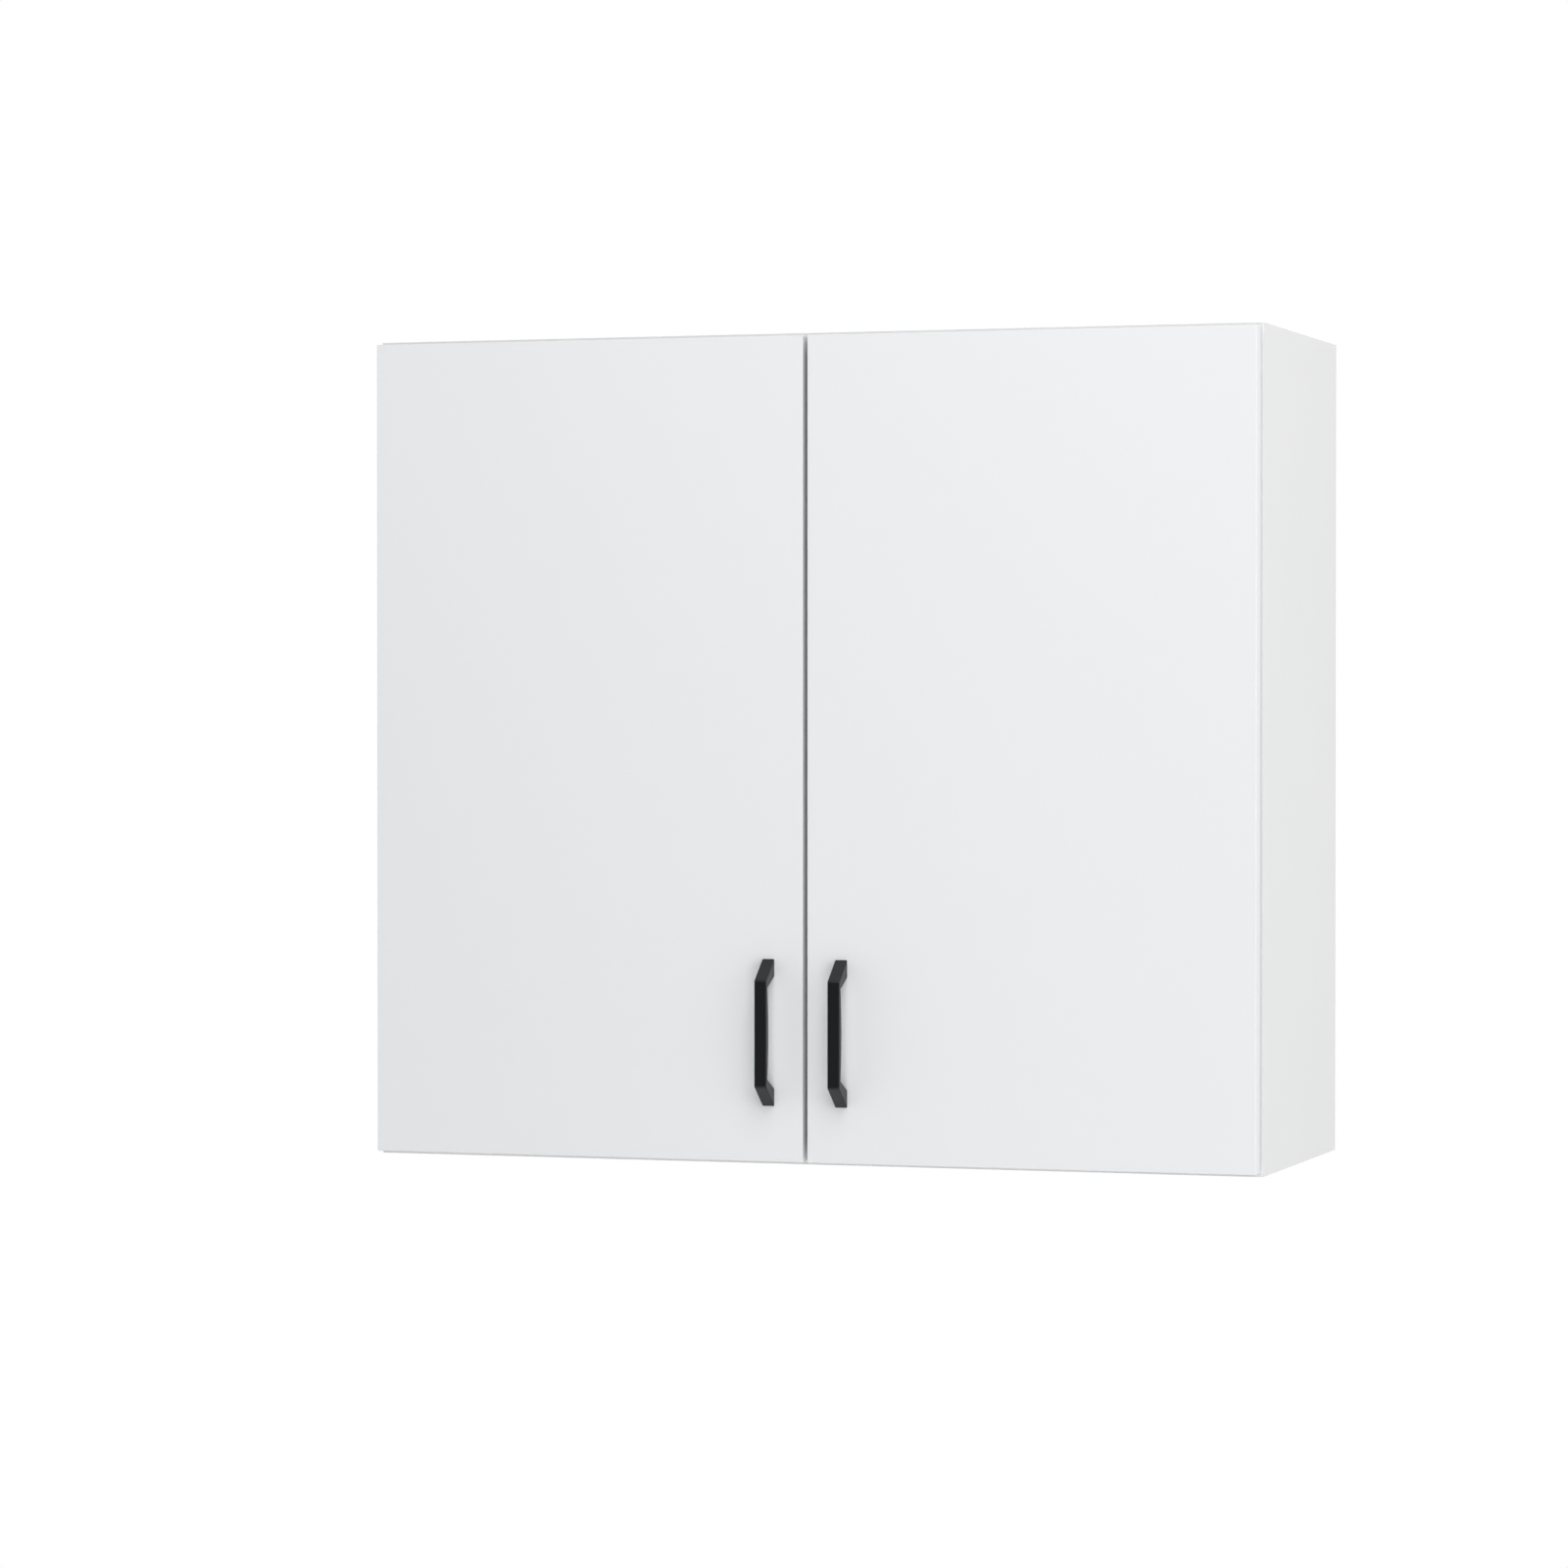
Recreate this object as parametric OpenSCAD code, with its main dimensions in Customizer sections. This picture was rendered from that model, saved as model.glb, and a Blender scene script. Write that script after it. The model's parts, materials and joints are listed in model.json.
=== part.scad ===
// Hanging wall cabinet with two full-overlay slab doors on concealed hinges.
// The origin lies on the wall, below the middle of the back edge. +X is right, -Y is front, +Z is up.
// Everything on a side is drawn for the left side, and mirrored for the right one.

/* [Carcass] */
// Width over the two side panels
cabinet_w = 800; // [600:10:1000]
// Height of the side panels
cabinet_h = 720; // [560:10:960]
// Depth of the carcass, without the doors
carcass_d = 290; // [240:5:400]
// Thickness of the side, top and bottom panels
board_t = 16; // [15:0.5:20]
// Thickness of the back panel
back_t = 3; // [2.5:0.5:5]
// Distance from the wall to the back panel
back_inset = 16; // [14:0.5:20]
// Depth of the grooves that hold the back panel
groove_depth = 8; // [5:0.5:9]

/* [Shelf] */
// Thickness of the shelf
shelf_t = 16; // [15:0.5:22]
// Height of the shelf's middle above the cabinet's underside
shelf_level = 360; // [250:5:480]
// Distance from the front of the carcass to the front of the shelf
shelf_setback = 20; // [10:1:60]
// Diameter of the shelf pins
pin_d = 5; // [4:0.5:6]

/* [Doors] */
// Thickness of a door
door_t = 16; // [15:0.5:19]
// Gap between the two doors
door_gap = 4; // [2:0.5:6]
// Strip of the side panel left uncovered beside a door
side_reveal = 2; // [1:0.5:3]
// Strip left uncovered above and below a door
end_reveal = 3; // [1:0.5:4]
// Distance from the carcass to the back of a closed door
door_standoff = 2; // [1.5:0.5:3]

/* [Handles] */
// Length of a handle
handle_l = 128; // [100:2:200]
// Width of a handle's bar
handle_w = 11; // [8:0.5:16]
// Distance that a handle stands out from its door
handle_out = 23; // [20:1:35]
// Distance from the meeting edge of a door to the middle of its handle
handle_inset = 31; // [25:1:60]
// Distance from the bottom of a door to the lower end of its handle
handle_low = 48; // [30:2:150]
// Thickness of the bar at its ends
bar_end_t = 4.1; // [3:0.1:6]
// Thickness of the bar in the middle of its length
bar_mid_t = 6.6; // [5:0.1:9]

/* [Hinges] */
// Distance from each end of a door to a hinge
hinge_inset = 100; // [70:5:160]
// Diameter of the hinge cup
cup_d = 35; // [30:0.5:42]
// Depth of the hinge cup in the door
cup_depth = 11.5; // [11:0.5:12.5]
// Distance from a door's edge to the cup
cup_edge = 4; // [3.5:0.5:5]
// Diameter of the pin in the hinge arm
arm_pin_d = 3; // [2.5:0.1:3.5]
// Diameter of the pin in the hinge cup
cup_pin_d = 2.4; // [2:0.1:2.6]

/* [Joinery] */
// Diameter of a cam disc
cam_d = 14.8; // [14:0.1:15]
// Distance from a panel's end to the middle of a cam disc
cam_from_end = 34; // [30:1:40]
// Diameter of a dowel
dowel_d = 8; // [6:1:8]

/* [Hanging] */
// Width of a wall plate
wall_plate_w = 52; // [46:2:80]
// Distance between the two wall screws of a plate
wall_hole_gap = 28; // [24:1:40]
// Diameter of the wall screw holes
wall_hole_d = 6.5; // [5:0.5:7]

/* [Hidden] */

$fn = 64;
eps = 0.02; // overrun of a cut past the face that it leaves
running = 0.05; // radial clearance of a pin that turns
fixed_fit = 0.02; // radial clearance of a part that stays in its hole
loose = 0.3; // clearance of a piece that slips over or between others

// Screws
pilot_d = 3.8;
pilot_l = 11;
wood_screw_d = pilot_d - 2 * fixed_fit;
screw_end_gap = 1; // left at the bottom of a pilot hole
pass_d = 4.2; // hole that a wood screw passes through
adjuster_d = 4;

// Carcass, derived
half_w = cabinet_w / 2;
inner_x = half_w - board_t;
top_under = cabinet_h - board_t;
groove_play = 0.2;
groove_gap = 1; // left at the bottom of a groove
back_front_y = -(back_inset + back_t);

// Shelf, derived
shelf_under = shelf_level - shelf_t / 2;
shelf_gap = 1; // left at each end of the shelf
shelf_rear_gap = 2;
pin_depth = 8;
pin_pad = [8, 8, 9];
pin_z = shelf_under - pin_pad[2] / 2;
line_bore = 37; // distance of a row of holes from the panel's edge
line_pitch = 32;
line_steps = [-2 : 2];
pin_ys = [-carcass_d + line_bore, back_front_y - line_bore];

// Doors, derived
door_w = (cabinet_w - 2 * side_reveal - door_gap) / 2;
door_h = cabinet_h - 2 * end_reveal;
door_edge_x = -(half_w - side_reveal);
door_back_y = -(carcass_d + door_standoff);
door_front_y = door_back_y - door_t;
hinge_zs = [end_reveal + hinge_inset, cabinet_h - end_reveal - hinge_inset];
bumper_d = 8;
bumper_t = door_standoff - 0.1;
bumper_inset = 12;

// Handles, derived
handle_x = -(door_gap / 2 + handle_inset);
handle_z = end_reveal + handle_low;
leg_run = 18; // length over which a leg slopes out to the bar
foot_l = 15.6; // length of a foot on the door
bar_start = 24.7; // where the free part of the bar starts
handle_hole_in = 8;
handle_hole_depth = 6;
handle_screw_d = 4;

// Hinge places, measured from the door's outer edge (u) and forward of the carcass (v)
arm_pivot = [28, -2];
cup_pivot = [cup_edge + 4, door_standoff + 4];
panel_u = board_t - side_reveal;
cup_u = cup_edge + cup_d / 2;
cup_wall = 1;
flange_t = 1;
flange_r = cup_d / 2 + 1.7;
cup_screw = [cup_u + 9.5, cup_d / 2 + 5];
cup_wing_r = 6.5;
cup_lug_r = 2.4; // of the lugs that hold the ends of the cup pin
cup_pin_off = cup_u - cup_pivot[0] + cup_pin_d / 2; // from the cup's middle to the far side of its pin
cup_pin_cover = 0.4; // left outside the ends of the cup pin
cup_pin_l = 2 * (sqrt(pow(cup_d / 2, 2) - pow(cup_pin_off, 2)) - cup_pin_cover);
arm_pin_l = 17.6;
cheek_in = 7;
cheek_out = 8.2;
link_in = 3.5;
link_out = 5;
link_t = 2.8;
link_arm_r = 3;
link_cup_r = 1.9;
link_route = [arm_pivot, cup_pivot + [13.5, 3.8], cup_pivot + [3.2, 3.8], cup_pivot];
nose_r = 3.2;
web_t = 1.2;
arm_low_u = panel_u + 8; // where the arm rests on its mounting plate
arm_high_u = arm_pivot[0] + 3;
arm_rear_v = -60;
arm_bend_v = [-27, -14]; // where the arm climbs from low to high
arm_front_v = -4;
cheek_drop = 4; // how far the cheeks reach down beside the mounting plate
cheek_under_v = [-22, -13]; // where the lower edge of a cheek climbs
plate_t = 2.5;
plate_wing_l = 52;
plate_wing_w = 14;
plate_screw_gap = 32;
plate_hole_d = 4.4;
plate_body_v = [22, 60]; // of the plate's middle, back from the front of the carcass
plate_body_half = 10;
rib_v = [26, 56];
rib_half = 6.6;
arm_screw_v = -46;
arm_screw_d = 4.92;
adjuster_v = -34;

// Joinery, derived
cam_cover = 1.5; // depth of the cover cap over a cam disc
cam_hole_depth = board_t - 2.5;
cam_ys = [-carcass_d + 50, -50];
dowel_ys = [cam_ys[0] + 32, cam_ys[1] - 32];
bolt_thread_d = 5;
bolt_thread_l = 11;
bolt_head_d = 6.6;
bolt_hole_d = 7.2;
dowel_in_side = 10;
dowel_l = 30;
dowel_hole_d = dowel_d + 2 * fixed_fit;
dowel_end_gap = 0.5;

// Hanging gear, derived
hanger_w = 18;
hanger_y = [back_front_y - 43, back_front_y - 1];
hanger_z = [top_under - 52, top_under - 4];
hook_t = 3;
hook_x = -inner_x + hanger_w / 2;
hook_z = [hanger_z[1] - 22, hanger_z[1] - 8];
hook_seat = hook_z[0];
tongue_y = [-4.2, -1.2];
cover_t = 1.2;
cover_x = -inner_x + hanger_w + 5;
hanger_screw_ys = [hanger_y[1] - 11, hanger_y[0] + 9];
hanger_screw_z = hanger_z[0] + 8;
adjuster_zs = [hanger_z[0] + 12, hook_z[0] + 8];
plate_sheet = 2;
lip_y = -7;
plate_low = hook_seat - 58;
plate_step = hook_seat - 18;
wall_plate_x = -inner_x + 2;
wall_hole_x = wall_plate_x + wall_plate_w / 2;
wall_hole_z = plate_low + 20;

white_board = [0.92, 0.92, 0.93];
black_metal = [0.1, 0.1, 0.11];
nickel = [0.75, 0.75, 0.74];
zinc = [0.68, 0.69, 0.72];
white_plastic = [0.9, 0.9, 0.88];
clear_plastic = [0.85, 0.87, 0.88];
beech = [0.8, 0.66, 0.47];

// ---- Helpers ----

module right_side() {
    mirror([1, 0, 0]) children();
}

module both_sides() {
    children();
    right_side() children();
}

// A cylinder along X, from x to x + length
module rod_x(x, y, z, d, length) {
    translate([x, y, z]) rotate([0, 90, 0]) cylinder(d = d, h = length);
}

// A cylinder along Y, from y to y + length
module rod_y(x, y, z, d, length) {
    translate([x, y, z]) rotate([-90, 0, 0]) cylinder(d = d, h = length);
}

// A box between two opposite corners
module box(low, high) {
    translate(low) cube(high - low);
}

// A screw along +Z from the underside of its head at 0: the shank goes down, the head up
module screw(shank_d, length, head_d, head_h) {
    recess_w = head_d / 6;
    recess_l = head_d * 0.62;
    difference() {
        union() {
            translate([0, 0, -length]) cylinder(d = shank_d, h = length);
            cylinder(d = head_d, h = head_h);
        }
        translate([-recess_l / 2, -recess_w / 2, head_h * 0.4]) cube([recess_l, recess_w, head_h]);
        translate([-recess_w / 2, -recess_l / 2, head_h * 0.4]) cube([recess_w, recess_l, head_h]);
    }
}

// A flat outline in hinge coordinates (u, v), extruded from z = low to z = high about a hinge
module hinge_sheet(hinge_z, low, high) {
    translate([door_edge_x, -carcass_d, hinge_z + low])
        linear_extrude(high - low)
            mirror([0, 1]) children();
}

// A bar of one thickness between two points of an outline
module bar(from, to, thick) {
    run = to - from;
    translate(from) rotate(atan2(run[1], run[0])) translate([0, -thick / 2]) square([norm(run), thick]);
}

// ---- Carcass ----

module side_panel() {
    color(white_board) difference() {
        box([-half_w, -carcass_d, 0], [-inner_x, 0, cabinet_h]);
        // groove for the back panel
        box([-inner_x - groove_depth, back_front_y - groove_play, board_t - groove_depth],
            [-inner_x + eps, -back_inset + groove_play, top_under + groove_depth]);
        // rows of holes for the shelf pins
        for (y = pin_ys, step = line_steps)
            rod_x(-inner_x - pin_depth - 1, y, pin_z + step * line_pitch, pin_d + 2 * fixed_fit,
                pin_depth + 1 + eps);
        // holes for the cam bolts and the dowels
        for (z = [board_t / 2, cabinet_h - board_t / 2]) {
            for (y = cam_ys) rod_x(-inner_x - bolt_thread_l, y, z, bolt_thread_d, bolt_thread_l + eps);
            for (y = dowel_ys)
                rod_x(-inner_x - dowel_in_side - dowel_end_gap, y, z, dowel_hole_d,
                    dowel_in_side + dowel_end_gap + eps);
        }
        // holes for the screws of the hinge plates
        for (z = hinge_zs, side = [-1, 1])
            rod_x(-inner_x - pilot_l, -carcass_d + line_bore, z + side * plate_screw_gap / 2, pilot_d,
                pilot_l + eps);
        // holes for the screws of the hanger
        for (y = hanger_screw_ys) rod_x(-inner_x - pilot_l, y, hanger_screw_z, pilot_d, pilot_l + eps);
    }
}

// The top panel, or the bottom one when turned over. Its outer face is at z = 0 and its inner one above.
module end_panel() {
    color(white_board) difference() {
        box([-inner_x, -carcass_d, 0], [inner_x, 0, board_t]);
        box([-inner_x - eps, back_front_y - groove_play, board_t - groove_depth],
            [inner_x + eps, -back_inset + groove_play, board_t + eps]);
        both_sides() {
            for (y = cam_ys) {
                translate([-inner_x + cam_from_end, y, -eps])
                    cylinder(d = cam_d + 0.2, h = cam_hole_depth + eps);
                rod_x(-inner_x - eps, y, board_t / 2, bolt_hole_d, cam_from_end - cam_d / 3);
            }
            for (y = dowel_ys)
                rod_x(-inner_x - eps, y, board_t / 2, dowel_hole_d, dowel_l - dowel_in_side + dowel_end_gap);
        }
    }
}

module bottom_panel() {
    end_panel();
}

module top_panel() {
    translate([0, 0, cabinet_h]) mirror([0, 0, 1]) end_panel();
}

module back_panel() {
    reach = groove_depth - groove_gap;
    notch_x = -inner_x + hanger_w + 2;
    color(white_board) difference() {
        box([-inner_x - reach, back_front_y, board_t - reach],
            [inner_x + reach, -back_inset, top_under + reach]);
        both_sides()
            box([-half_w, back_front_y - eps, hook_z[0] - 4],
                [notch_x, -back_inset + eps, cabinet_h]);
    }
}

module shelf() {
    color(white_board)
        box([-inner_x + shelf_gap, -carcass_d + shelf_setback, shelf_under],
            [inner_x - shelf_gap, back_front_y - shelf_rear_gap, shelf_under + shelf_t]);
}

module shelf_pins() {
    color(nickel) both_sides() for (y = pin_ys) {
        rod_x(-inner_x - pin_depth, y, pin_z, pin_d, pin_depth + 1);
        box([-inner_x, y - pin_pad[1] / 2, shelf_under - pin_pad[2]],
            [-inner_x + pin_pad[0], y + pin_pad[1] / 2, shelf_under]);
    }
}

// ---- Joinery: the same pieces in the bottom panel and, turned over, in the top one ----

module both_panels() {
    children();
    translate([0, 0, cabinet_h]) mirror([0, 0, 1]) children();
}

module cam_discs() {
    color(zinc) both_panels() both_sides() for (y = cam_ys) difference() {
        translate([-inner_x + cam_from_end, y, cam_cover])
            cylinder(d = cam_d, h = cam_hole_depth - cam_cover);
        rod_x(-inner_x + cam_from_end - cam_d, y, board_t / 2, bolt_hole_d, cam_d + 2);
    }
}

module cam_bolts() {
    color(zinc) both_panels() both_sides() for (y = cam_ys) {
        rod_x(-inner_x - bolt_thread_l + 0.5, y, board_t / 2, bolt_thread_d - 2 * fixed_fit, bolt_thread_l);
        rod_x(-inner_x, y, board_t / 2, bolt_thread_d, cam_from_end - 2);
        rod_x(-inner_x + cam_from_end - 3, y, board_t / 2, bolt_head_d, 3);
    }
}

module cam_caps() {
    color(white_plastic) both_panels() both_sides() for (y = cam_ys)
        translate([-inner_x + cam_from_end, y, 0]) cylinder(d = cam_d + 0.1, h = cam_cover);
}

module dowels() {
    color(beech) both_panels() both_sides() for (y = dowel_ys)
        rod_x(-inner_x - dowel_in_side, y, board_t / 2, dowel_d, dowel_l);
}

// ---- Hanging gear ----

module hanger_box() {
    color(white_plastic) difference() {
        box([-inner_x, hanger_y[0], hanger_z[0]], [-inner_x + hanger_w, hanger_y[1], hanger_z[1]]);
        // channel of the hook
        box([hook_x - hook_t / 2 - loose, hanger_y[0] + 8, hook_z[0] - loose],
            [hook_x + hook_t / 2 + loose, hanger_y[1] + eps, hook_z[1] + loose]);
        for (y = hanger_screw_ys) rod_x(-inner_x - eps, y, hanger_screw_z, pass_d, hanger_w + 2 * eps);
        for (z = adjuster_zs) rod_y(hook_x, hanger_y[0] - eps, z, adjuster_d + 2 * fixed_fit, 9);
    }
}

module hanger_hook() {
    color(zinc) translate([hook_x + hook_t / 2, 0, 0]) rotate([0, -90, 0]) linear_extrude(hook_t)
        polygon([
            [hook_z[0], hanger_y[0] + 12], [hook_z[1], hanger_y[0] + 12], [hook_z[1], tongue_y[0] - 4],
            [hook_z[1] - 4, tongue_y[1]], [hook_seat - 12, tongue_y[1]], [hook_seat - 14, tongue_y[0] + 1],
            [hook_seat - 12, tongue_y[0]], [hook_seat, tongue_y[0]]
        ]);
}

module hanger_cover() {
    low = [-inner_x, hanger_y[0] - 4, hanger_z[0] - 2];
    high = [cover_x, hanger_y[1] + 0.8, hanger_z[1] + 2];
    color(white_plastic) difference() {
        box(low, high);
        box([low[0] - eps, low[1] + cover_t, low[2] + cover_t],
            [high[0] - cover_t, high[1] + eps, high[2] - cover_t]);
        for (z = adjuster_zs) rod_y(hook_x, low[1] - eps, z, 6, cover_t + 2 * eps);
    }
}

module hanger_screws() {
    color(zinc) both_sides() for (y = hanger_screw_ys)
        translate([-inner_x + hanger_w, y, hanger_screw_z]) rotate([0, 90, 0])
            screw(wood_screw_d, hanger_w + pilot_l - screw_end_gap / 2, head_d = 8, head_h = 2.2);
}

module hanger_adjusters() {
    color(zinc) both_sides() for (z = adjuster_zs)
        translate([hook_x, hanger_y[0], z]) rotate([90, 0, 0])
            screw(adjuster_d, 8, head_d = 7, head_h = 2);
}

module wall_plate() {
    color(zinc) difference() {
        translate([wall_plate_x, 0, 0]) rotate([90, 0, 90]) linear_extrude(wall_plate_w)
            polygon([
                [0, plate_low], [-plate_sheet, plate_low], [-plate_sheet, plate_step - plate_sheet],
                [lip_y, plate_step - plate_sheet], [lip_y, hook_seat], [lip_y + plate_sheet, hook_seat],
                [lip_y + plate_sheet, plate_step], [0, plate_step]
            ]);
        for (side = [-1, 1])
            rod_y(wall_hole_x + side * wall_hole_gap / 2, -plate_sheet - eps, wall_hole_z, wall_hole_d,
                plate_sheet + 2 * eps);
    }
}

// ---- Hinges ----

module hinge_plate(z) {
    color(nickel) difference() {
        translate([-inner_x, -carcass_d, z]) union() {
            box([0, line_bore - plate_wing_w / 2, -plate_wing_l / 2],
                [plate_t, line_bore + plate_wing_w / 2, plate_wing_l / 2]);
            box([0, plate_body_v[0], -plate_body_half], [plate_t, plate_body_v[1], plate_body_half]);
            box([0, rib_v[0], -rib_half], [arm_low_u - panel_u, rib_v[1], rib_half]);
        }
        for (side = [-1, 1])
            rod_x(-inner_x - eps, -carcass_d + line_bore, z + side * plate_screw_gap / 2, plate_hole_d,
                plate_t + 2 * eps);
        rod_x(-inner_x + plate_t - 1, -carcass_d - arm_screw_v, z, arm_screw_d + 2 * fixed_fit, arm_low_u);
    }
}

module hinge_plate_screws() {
    color(nickel) both_sides() for (z = hinge_zs, side = [-1, 1])
        translate([-inner_x + plate_t, -carcass_d + line_bore, z + side * plate_screw_gap / 2])
            rotate([0, 90, 0])
                screw(wood_screw_d, plate_t + pilot_l - screw_end_gap, head_d = 7.6, head_h = 2);
}

// Outline of the arm's web: low over the mounting plate, high over the cup
module arm_web_outline() {
    polygon([
        [arm_low_u, arm_rear_v], [arm_low_u + web_t, arm_rear_v],
        [arm_low_u + web_t, arm_bend_v[0]], [arm_high_u + web_t, arm_bend_v[1]],
        [arm_high_u + web_t, arm_front_v], [arm_high_u, arm_front_v],
        [arm_high_u, arm_bend_v[1] + web_t / 2], [arm_low_u, arm_bend_v[0] + web_t / 2]
    ]);
}

// Outline of the arm's two cheeks, with the eye of the arm pin at their front end
module arm_cheek_outline() {
    polygon([
        [arm_low_u - cheek_drop, arm_rear_v + 2], [arm_low_u, arm_rear_v], [arm_low_u + web_t, arm_rear_v],
        [arm_low_u + web_t, arm_bend_v[0]], [arm_high_u + web_t, arm_bend_v[1]],
        [arm_high_u + web_t, arm_front_v], arm_pivot + 0.7 * [nose_r, nose_r],
        arm_pivot, arm_pivot - [nose_r, 0],
        [arm_low_u, cheek_under_v[1]], [arm_low_u - cheek_drop, cheek_under_v[0]]
    ]);
    translate(arm_pivot) circle(r = nose_r);
}

module hinge_arm(z) {
    color(nickel) difference() {
        union() {
            hinge_sheet(z, -cheek_out, cheek_out) arm_web_outline();
            for (low = [-cheek_out, cheek_in])
                hinge_sheet(z, low, low + cheek_out - cheek_in) arm_cheek_outline();
        }
        hinge_sheet(z, -cheek_out - eps, cheek_out + eps)
            translate(arm_pivot) circle(d = arm_pin_d + 2 * fixed_fit);
        rod_x(door_edge_x + arm_low_u - 1, -carcass_d - arm_screw_v, z, 5.4, web_t + 2);
        rod_x(door_edge_x + arm_low_u - 1, -carcass_d - adjuster_v, z, adjuster_d + 2 * fixed_fit, web_t + 2);
    }
}

module hinge_arm_screws() {
    color(nickel) both_sides() for (z = hinge_zs) {
        translate([door_edge_x + arm_low_u + web_t, -carcass_d - arm_screw_v, z])
            rotate([0, 90, 0]) screw(arm_screw_d, web_t + 4.5, head_d = 8.4, head_h = 2.4);
        translate([door_edge_x + arm_low_u + web_t, -carcass_d - adjuster_v, z])
            rotate([0, 90, 0]) screw(adjuster_d, web_t, head_d = 6, head_h = 1.6);
    }
}

module hinge_arm_pins() {
    color(nickel) both_sides() for (z = hinge_zs)
        hinge_sheet(z, -arm_pin_l / 2, arm_pin_l / 2) translate(arm_pivot) circle(d = arm_pin_d);
}

module link_outline() {
    difference() {
        union() {
            for (i = [0 : 2]) bar(link_route[i], link_route[i + 1], link_t);
            for (p = [link_route[1], link_route[2]]) translate(p) circle(d = link_t);
            translate(arm_pivot) circle(r = link_arm_r);
            translate(cup_pivot) circle(r = link_cup_r);
        }
        translate(arm_pivot) circle(d = arm_pin_d + 2 * running);
        translate(cup_pivot) circle(d = cup_pin_d + 2 * running);
    }
}

module hinge_link(z) {
    color(nickel) {
        for (low = [-link_out, link_in]) hinge_sheet(z, low, low + link_out - link_in) link_outline();
        hinge_sheet(z, -link_out, link_out) bar(link_route[1], link_route[2], link_t);
    }
}

// ---- Doors, drawn closed ----

// Outline of the lugs that stand inside the cup, one at each end of its pin
module cup_lug_outline() {
    translate(cup_pivot) circle(r = cup_lug_r);
    translate([cup_edge, cup_pivot[1]]) square([cup_pivot[0] + cup_lug_r - cup_edge, cup_depth]);
}

module hinge_cup(z) {
    color(nickel) difference() {
        union() {
            difference() {
                union() {
                    rod_y(door_edge_x + cup_u, door_back_y - cup_depth, z, cup_d, cup_depth);
                    rod_y(door_edge_x + cup_u, door_back_y, z, 2 * flange_r, flange_t);
                    box([door_edge_x + cup_screw[0] - cup_wing_r, door_back_y, z - cup_screw[1]],
                        [door_edge_x + cup_screw[0] + cup_wing_r, door_back_y + flange_t, z + cup_screw[1]]);
                    for (side = [-1, 1])
                        rod_y(door_edge_x + cup_screw[0], door_back_y, z + side * cup_screw[1],
                            2 * cup_wing_r, flange_t);
                }
                rod_y(door_edge_x + cup_u, door_back_y - cup_depth + cup_wall, z, cup_d - 2 * cup_wall,
                    cup_depth + flange_t);
            }
            intersection() {
                rod_y(door_edge_x + cup_u, door_back_y - cup_depth + cup_wall / 2, z, cup_d - cup_wall,
                    cup_depth);
                union() for (low = [-cup_d / 2, link_out + loose])
                    hinge_sheet(z, low, low + cup_d / 2 - link_out - loose) cup_lug_outline();
            }
        }
        hinge_sheet(z, -cup_pin_l / 2, cup_pin_l / 2)
            translate(cup_pivot) circle(d = cup_pin_d + 2 * fixed_fit);
        for (side = [-1, 1])
            rod_y(door_edge_x + cup_screw[0], door_back_y - eps, z + side * cup_screw[1], pass_d,
                flange_t + 2 * eps);
    }
}

module cup_pins() {
    color(nickel) for (z = hinge_zs)
        hinge_sheet(z, -cup_pin_l / 2, cup_pin_l / 2) translate(cup_pivot) circle(d = cup_pin_d);
}

// Closing springs: close turns around the cup pin, between the two plates of the link
module cup_springs() {
    wire_d = 1;
    turns = 7;
    pitch = 0.9 * wire_d;
    color(zinc) for (z = hinge_zs)
        translate([door_edge_x + cup_pivot[0], -carcass_d - cup_pivot[1], z - (turns - 1) / 2 * pitch])
            rotate_extrude() translate([cup_pin_d / 2 + running + wire_d / 2, 0])
                for (i = [0 : turns - 1]) translate([0, i * pitch]) circle(d = wire_d, $fn = 24);
}

module cup_screws() {
    color(nickel) for (z = hinge_zs, side = [-1, 1])
        translate([door_edge_x + cup_screw[0], door_back_y + flange_t, z + side * cup_screw[1]])
            rotate([-90, 0, 0])
                screw(wood_screw_d, flange_t + pilot_l - screw_end_gap, head_d = 7, head_h = 1.6);
}

module door() {
    color(white_board) difference() {
        box([door_edge_x, door_front_y, end_reveal],
            [door_edge_x + door_w, door_back_y, cabinet_h - end_reveal]);
        for (z = hinge_zs) {
            rod_y(door_edge_x + cup_u, door_back_y - cup_depth - 0.3, z, cup_d + 0.2, cup_depth + 0.3 + eps);
            for (side = [-1, 1])
                rod_y(door_edge_x + cup_screw[0], door_back_y - pilot_l, z + side * cup_screw[1], pilot_d,
                    pilot_l + eps);
        }
        for (s = [handle_hole_in, handle_l - handle_hole_in])
            rod_y(handle_x, door_front_y - eps, handle_z + s, handle_screw_d + 0.4, door_t + 2 * eps);
    }
}

// Side view of a handle: x is the distance along it, y the distance from the door
module handle_outline() {
    bar_back = handle_out - bar_end_t;
    bow = bar_mid_t - bar_end_t;
    half_free = handle_l / 2 - bar_start;
    bow_r = (half_free * half_free + bow * bow) / (2 * bow);
    difference() {
        polygon([[0, 0], [leg_run, handle_out], [handle_l - leg_run, handle_out], [handle_l, 0]]);
        difference() {
            polygon([
                [foot_l, -eps], [foot_l, 0], [bar_start, bar_back], [handle_l - bar_start, bar_back],
                [handle_l - foot_l, 0], [handle_l - foot_l, -eps]
            ]);
            translate([handle_l / 2, bar_back - bow + bow_r]) circle(r = bow_r, $fn = 720);
        }
    }
}

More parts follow.
